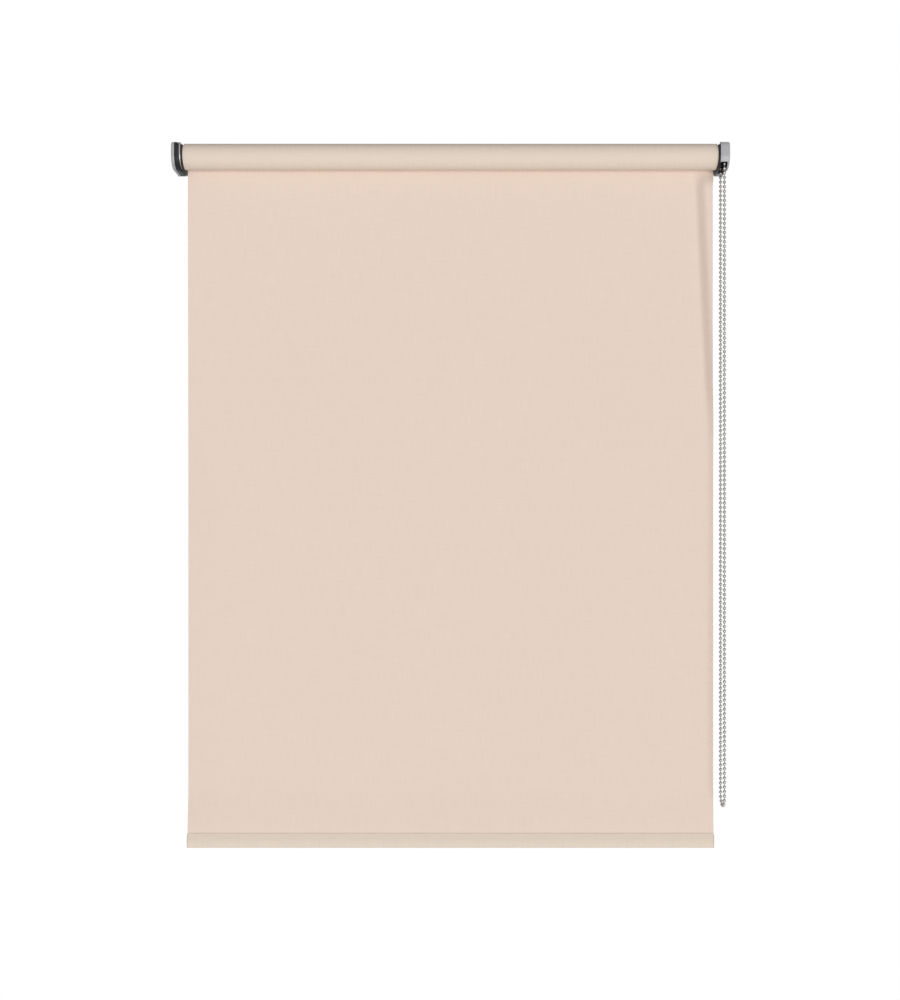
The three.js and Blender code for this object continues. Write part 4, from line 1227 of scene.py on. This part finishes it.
class BLIND_OT_stage(bpy.types.Operator):
    """Set the camera, the floor and the soft studio light"""

    bl_idname = "blind.stage"
    bl_label = "Stage"

    def execute(self, context):
        stage = context.scene.blind_stage
        add_camera(stage)
        add_floor(stage)
        add_world(stage)
        add_lights(stage)
        context.scene.view_settings.view_transform = "Standard"
        return {"FINISHED"}


def add_camera(stage):
    clear_selection()
    bpy.ops.object.camera_add(
        location=(stage.camera_side, -stage.camera_distance, stage.camera_height),
        rotation=(math.pi / 2, 0, 0),
    )
    camera = bpy.context.object
    camera.name = "photo_camera"
    camera.data.lens = stage.lens
    camera.data.sensor_width = 36
    camera.data.sensor_fit = "AUTO"
    camera.data.clip_start = 0.02
    bpy.context.scene.camera = camera


def add_floor(stage):
    """Pale floor that looks white and keeps a trace of the blind's shadow."""
    clear_selection()
    bpy.ops.mesh.primitive_plane_add(size=stage.floor_size, location=(0, 0, stage.floor_height))
    floor = take_new("studio_floor")
    material, tree = new_tree("pale_studio_floor")
    white_share = seen_share(tree, 0.97)
    matt = add_node(tree, "ShaderNodeBsdfDiffuse", {"Color": shade(WHITE, 0.9)})
    glow = add_node(tree, "ShaderNodeEmission", {"Color": WHITE, "Strength": 1})
    mix = add_node(
        tree, "ShaderNodeMixShader",
        links={0: white_share, 1: matt.outputs["BSDF"], 2: glow.outputs["Emission"]},
    )
    add_node(tree, "ShaderNodeOutputMaterial", links={"Surface": mix.outputs["Shader"]})
    floor.data.materials.append(material)


def add_world(stage):
    """Even white light from all sides, and a white background."""
    world = bpy.data.worlds.new("studio_air")
    world.use_nodes = True
    tree = world.node_tree
    tree.nodes.clear()
    even, white = [
        add_node(
            tree, "ShaderNodeBackground", {"Color": WHITE, "Strength": strength},
        ).outputs["Background"]
        for strength in (stage.ambient, 1)
    ]
    mix = add_node(
        tree, "ShaderNodeMixShader", links={0: seen_share(tree, 1), 1: even, 2: white},
    )
    add_node(tree, "ShaderNodeOutputWorld", links={"Surface": mix.outputs["Shader"]})
    bpy.context.scene.world = world


def add_lights(stage):
    """One soft key light from the front, to the right of the camera and below it."""
    clear_selection()
    bpy.ops.object.light_add(type="SUN", location=-2 * KEY_DIRECTION)
    key = bpy.context.object
    key.name = "soft_key"
    key.data.energy = stage.key_strength
    key.data.angle = stage.key_softness
    key.rotation_euler = KEY_DIRECTION.to_track_quat("-Z", "Y").to_euler()


class BLIND_PT_sidebar(bpy.types.Panel):
    """Operators of the roller blind, in the order in which they run"""

    bl_idname = "BLIND_PT_sidebar"
    bl_label = "Roller blind"
    bl_space_type = "VIEW_3D"
    bl_region_type = "UI"
    bl_category = "Roller blind"

    def draw(self, context):
        for operator in BUILD_ORDER:
            self.layout.operator(operator.bl_idname)


BUILD_ORDER = (
    BLIND_OT_stage,
    BLIND_OT_bead_chain,
    BLIND_OT_chain_wheel,
    BLIND_OT_wound_fabric,
    BLIND_OT_hem,
    BLIND_OT_hanging_sheet,
    BLIND_OT_covers,
    BLIND_OT_brackets,
    BLIND_OT_end_plates,
    BLIND_OT_roller_core,
)
SETTINGS = {
    "blind_fabric": FabricSettings,
    "blind_chain": ChainSettings,
    "blind_ends": EndSettings,
    "blind_stage": StageSettings,
}


def register():
    for name, group in SETTINGS.items():
        bpy.utils.register_class(group)
        setattr(bpy.types.Scene, name, bpy.props.PointerProperty(type=group))
    for item in (*BUILD_ORDER, BLIND_PT_sidebar):
        bpy.utils.register_class(item)


def unregister():
    for item in reversed((*BUILD_ORDER, BLIND_PT_sidebar)):
        bpy.utils.unregister_class(item)
    for name, group in SETTINGS.items():
        delattr(bpy.types.Scene, name)
        bpy.utils.unregister_class(group)


def main():
    register()
    for operator in BUILD_ORDER:
        group, name = operator.bl_idname.split(".")
        getattr(getattr(bpy.ops, group), name)()


if __name__ == "__main__":
    main()
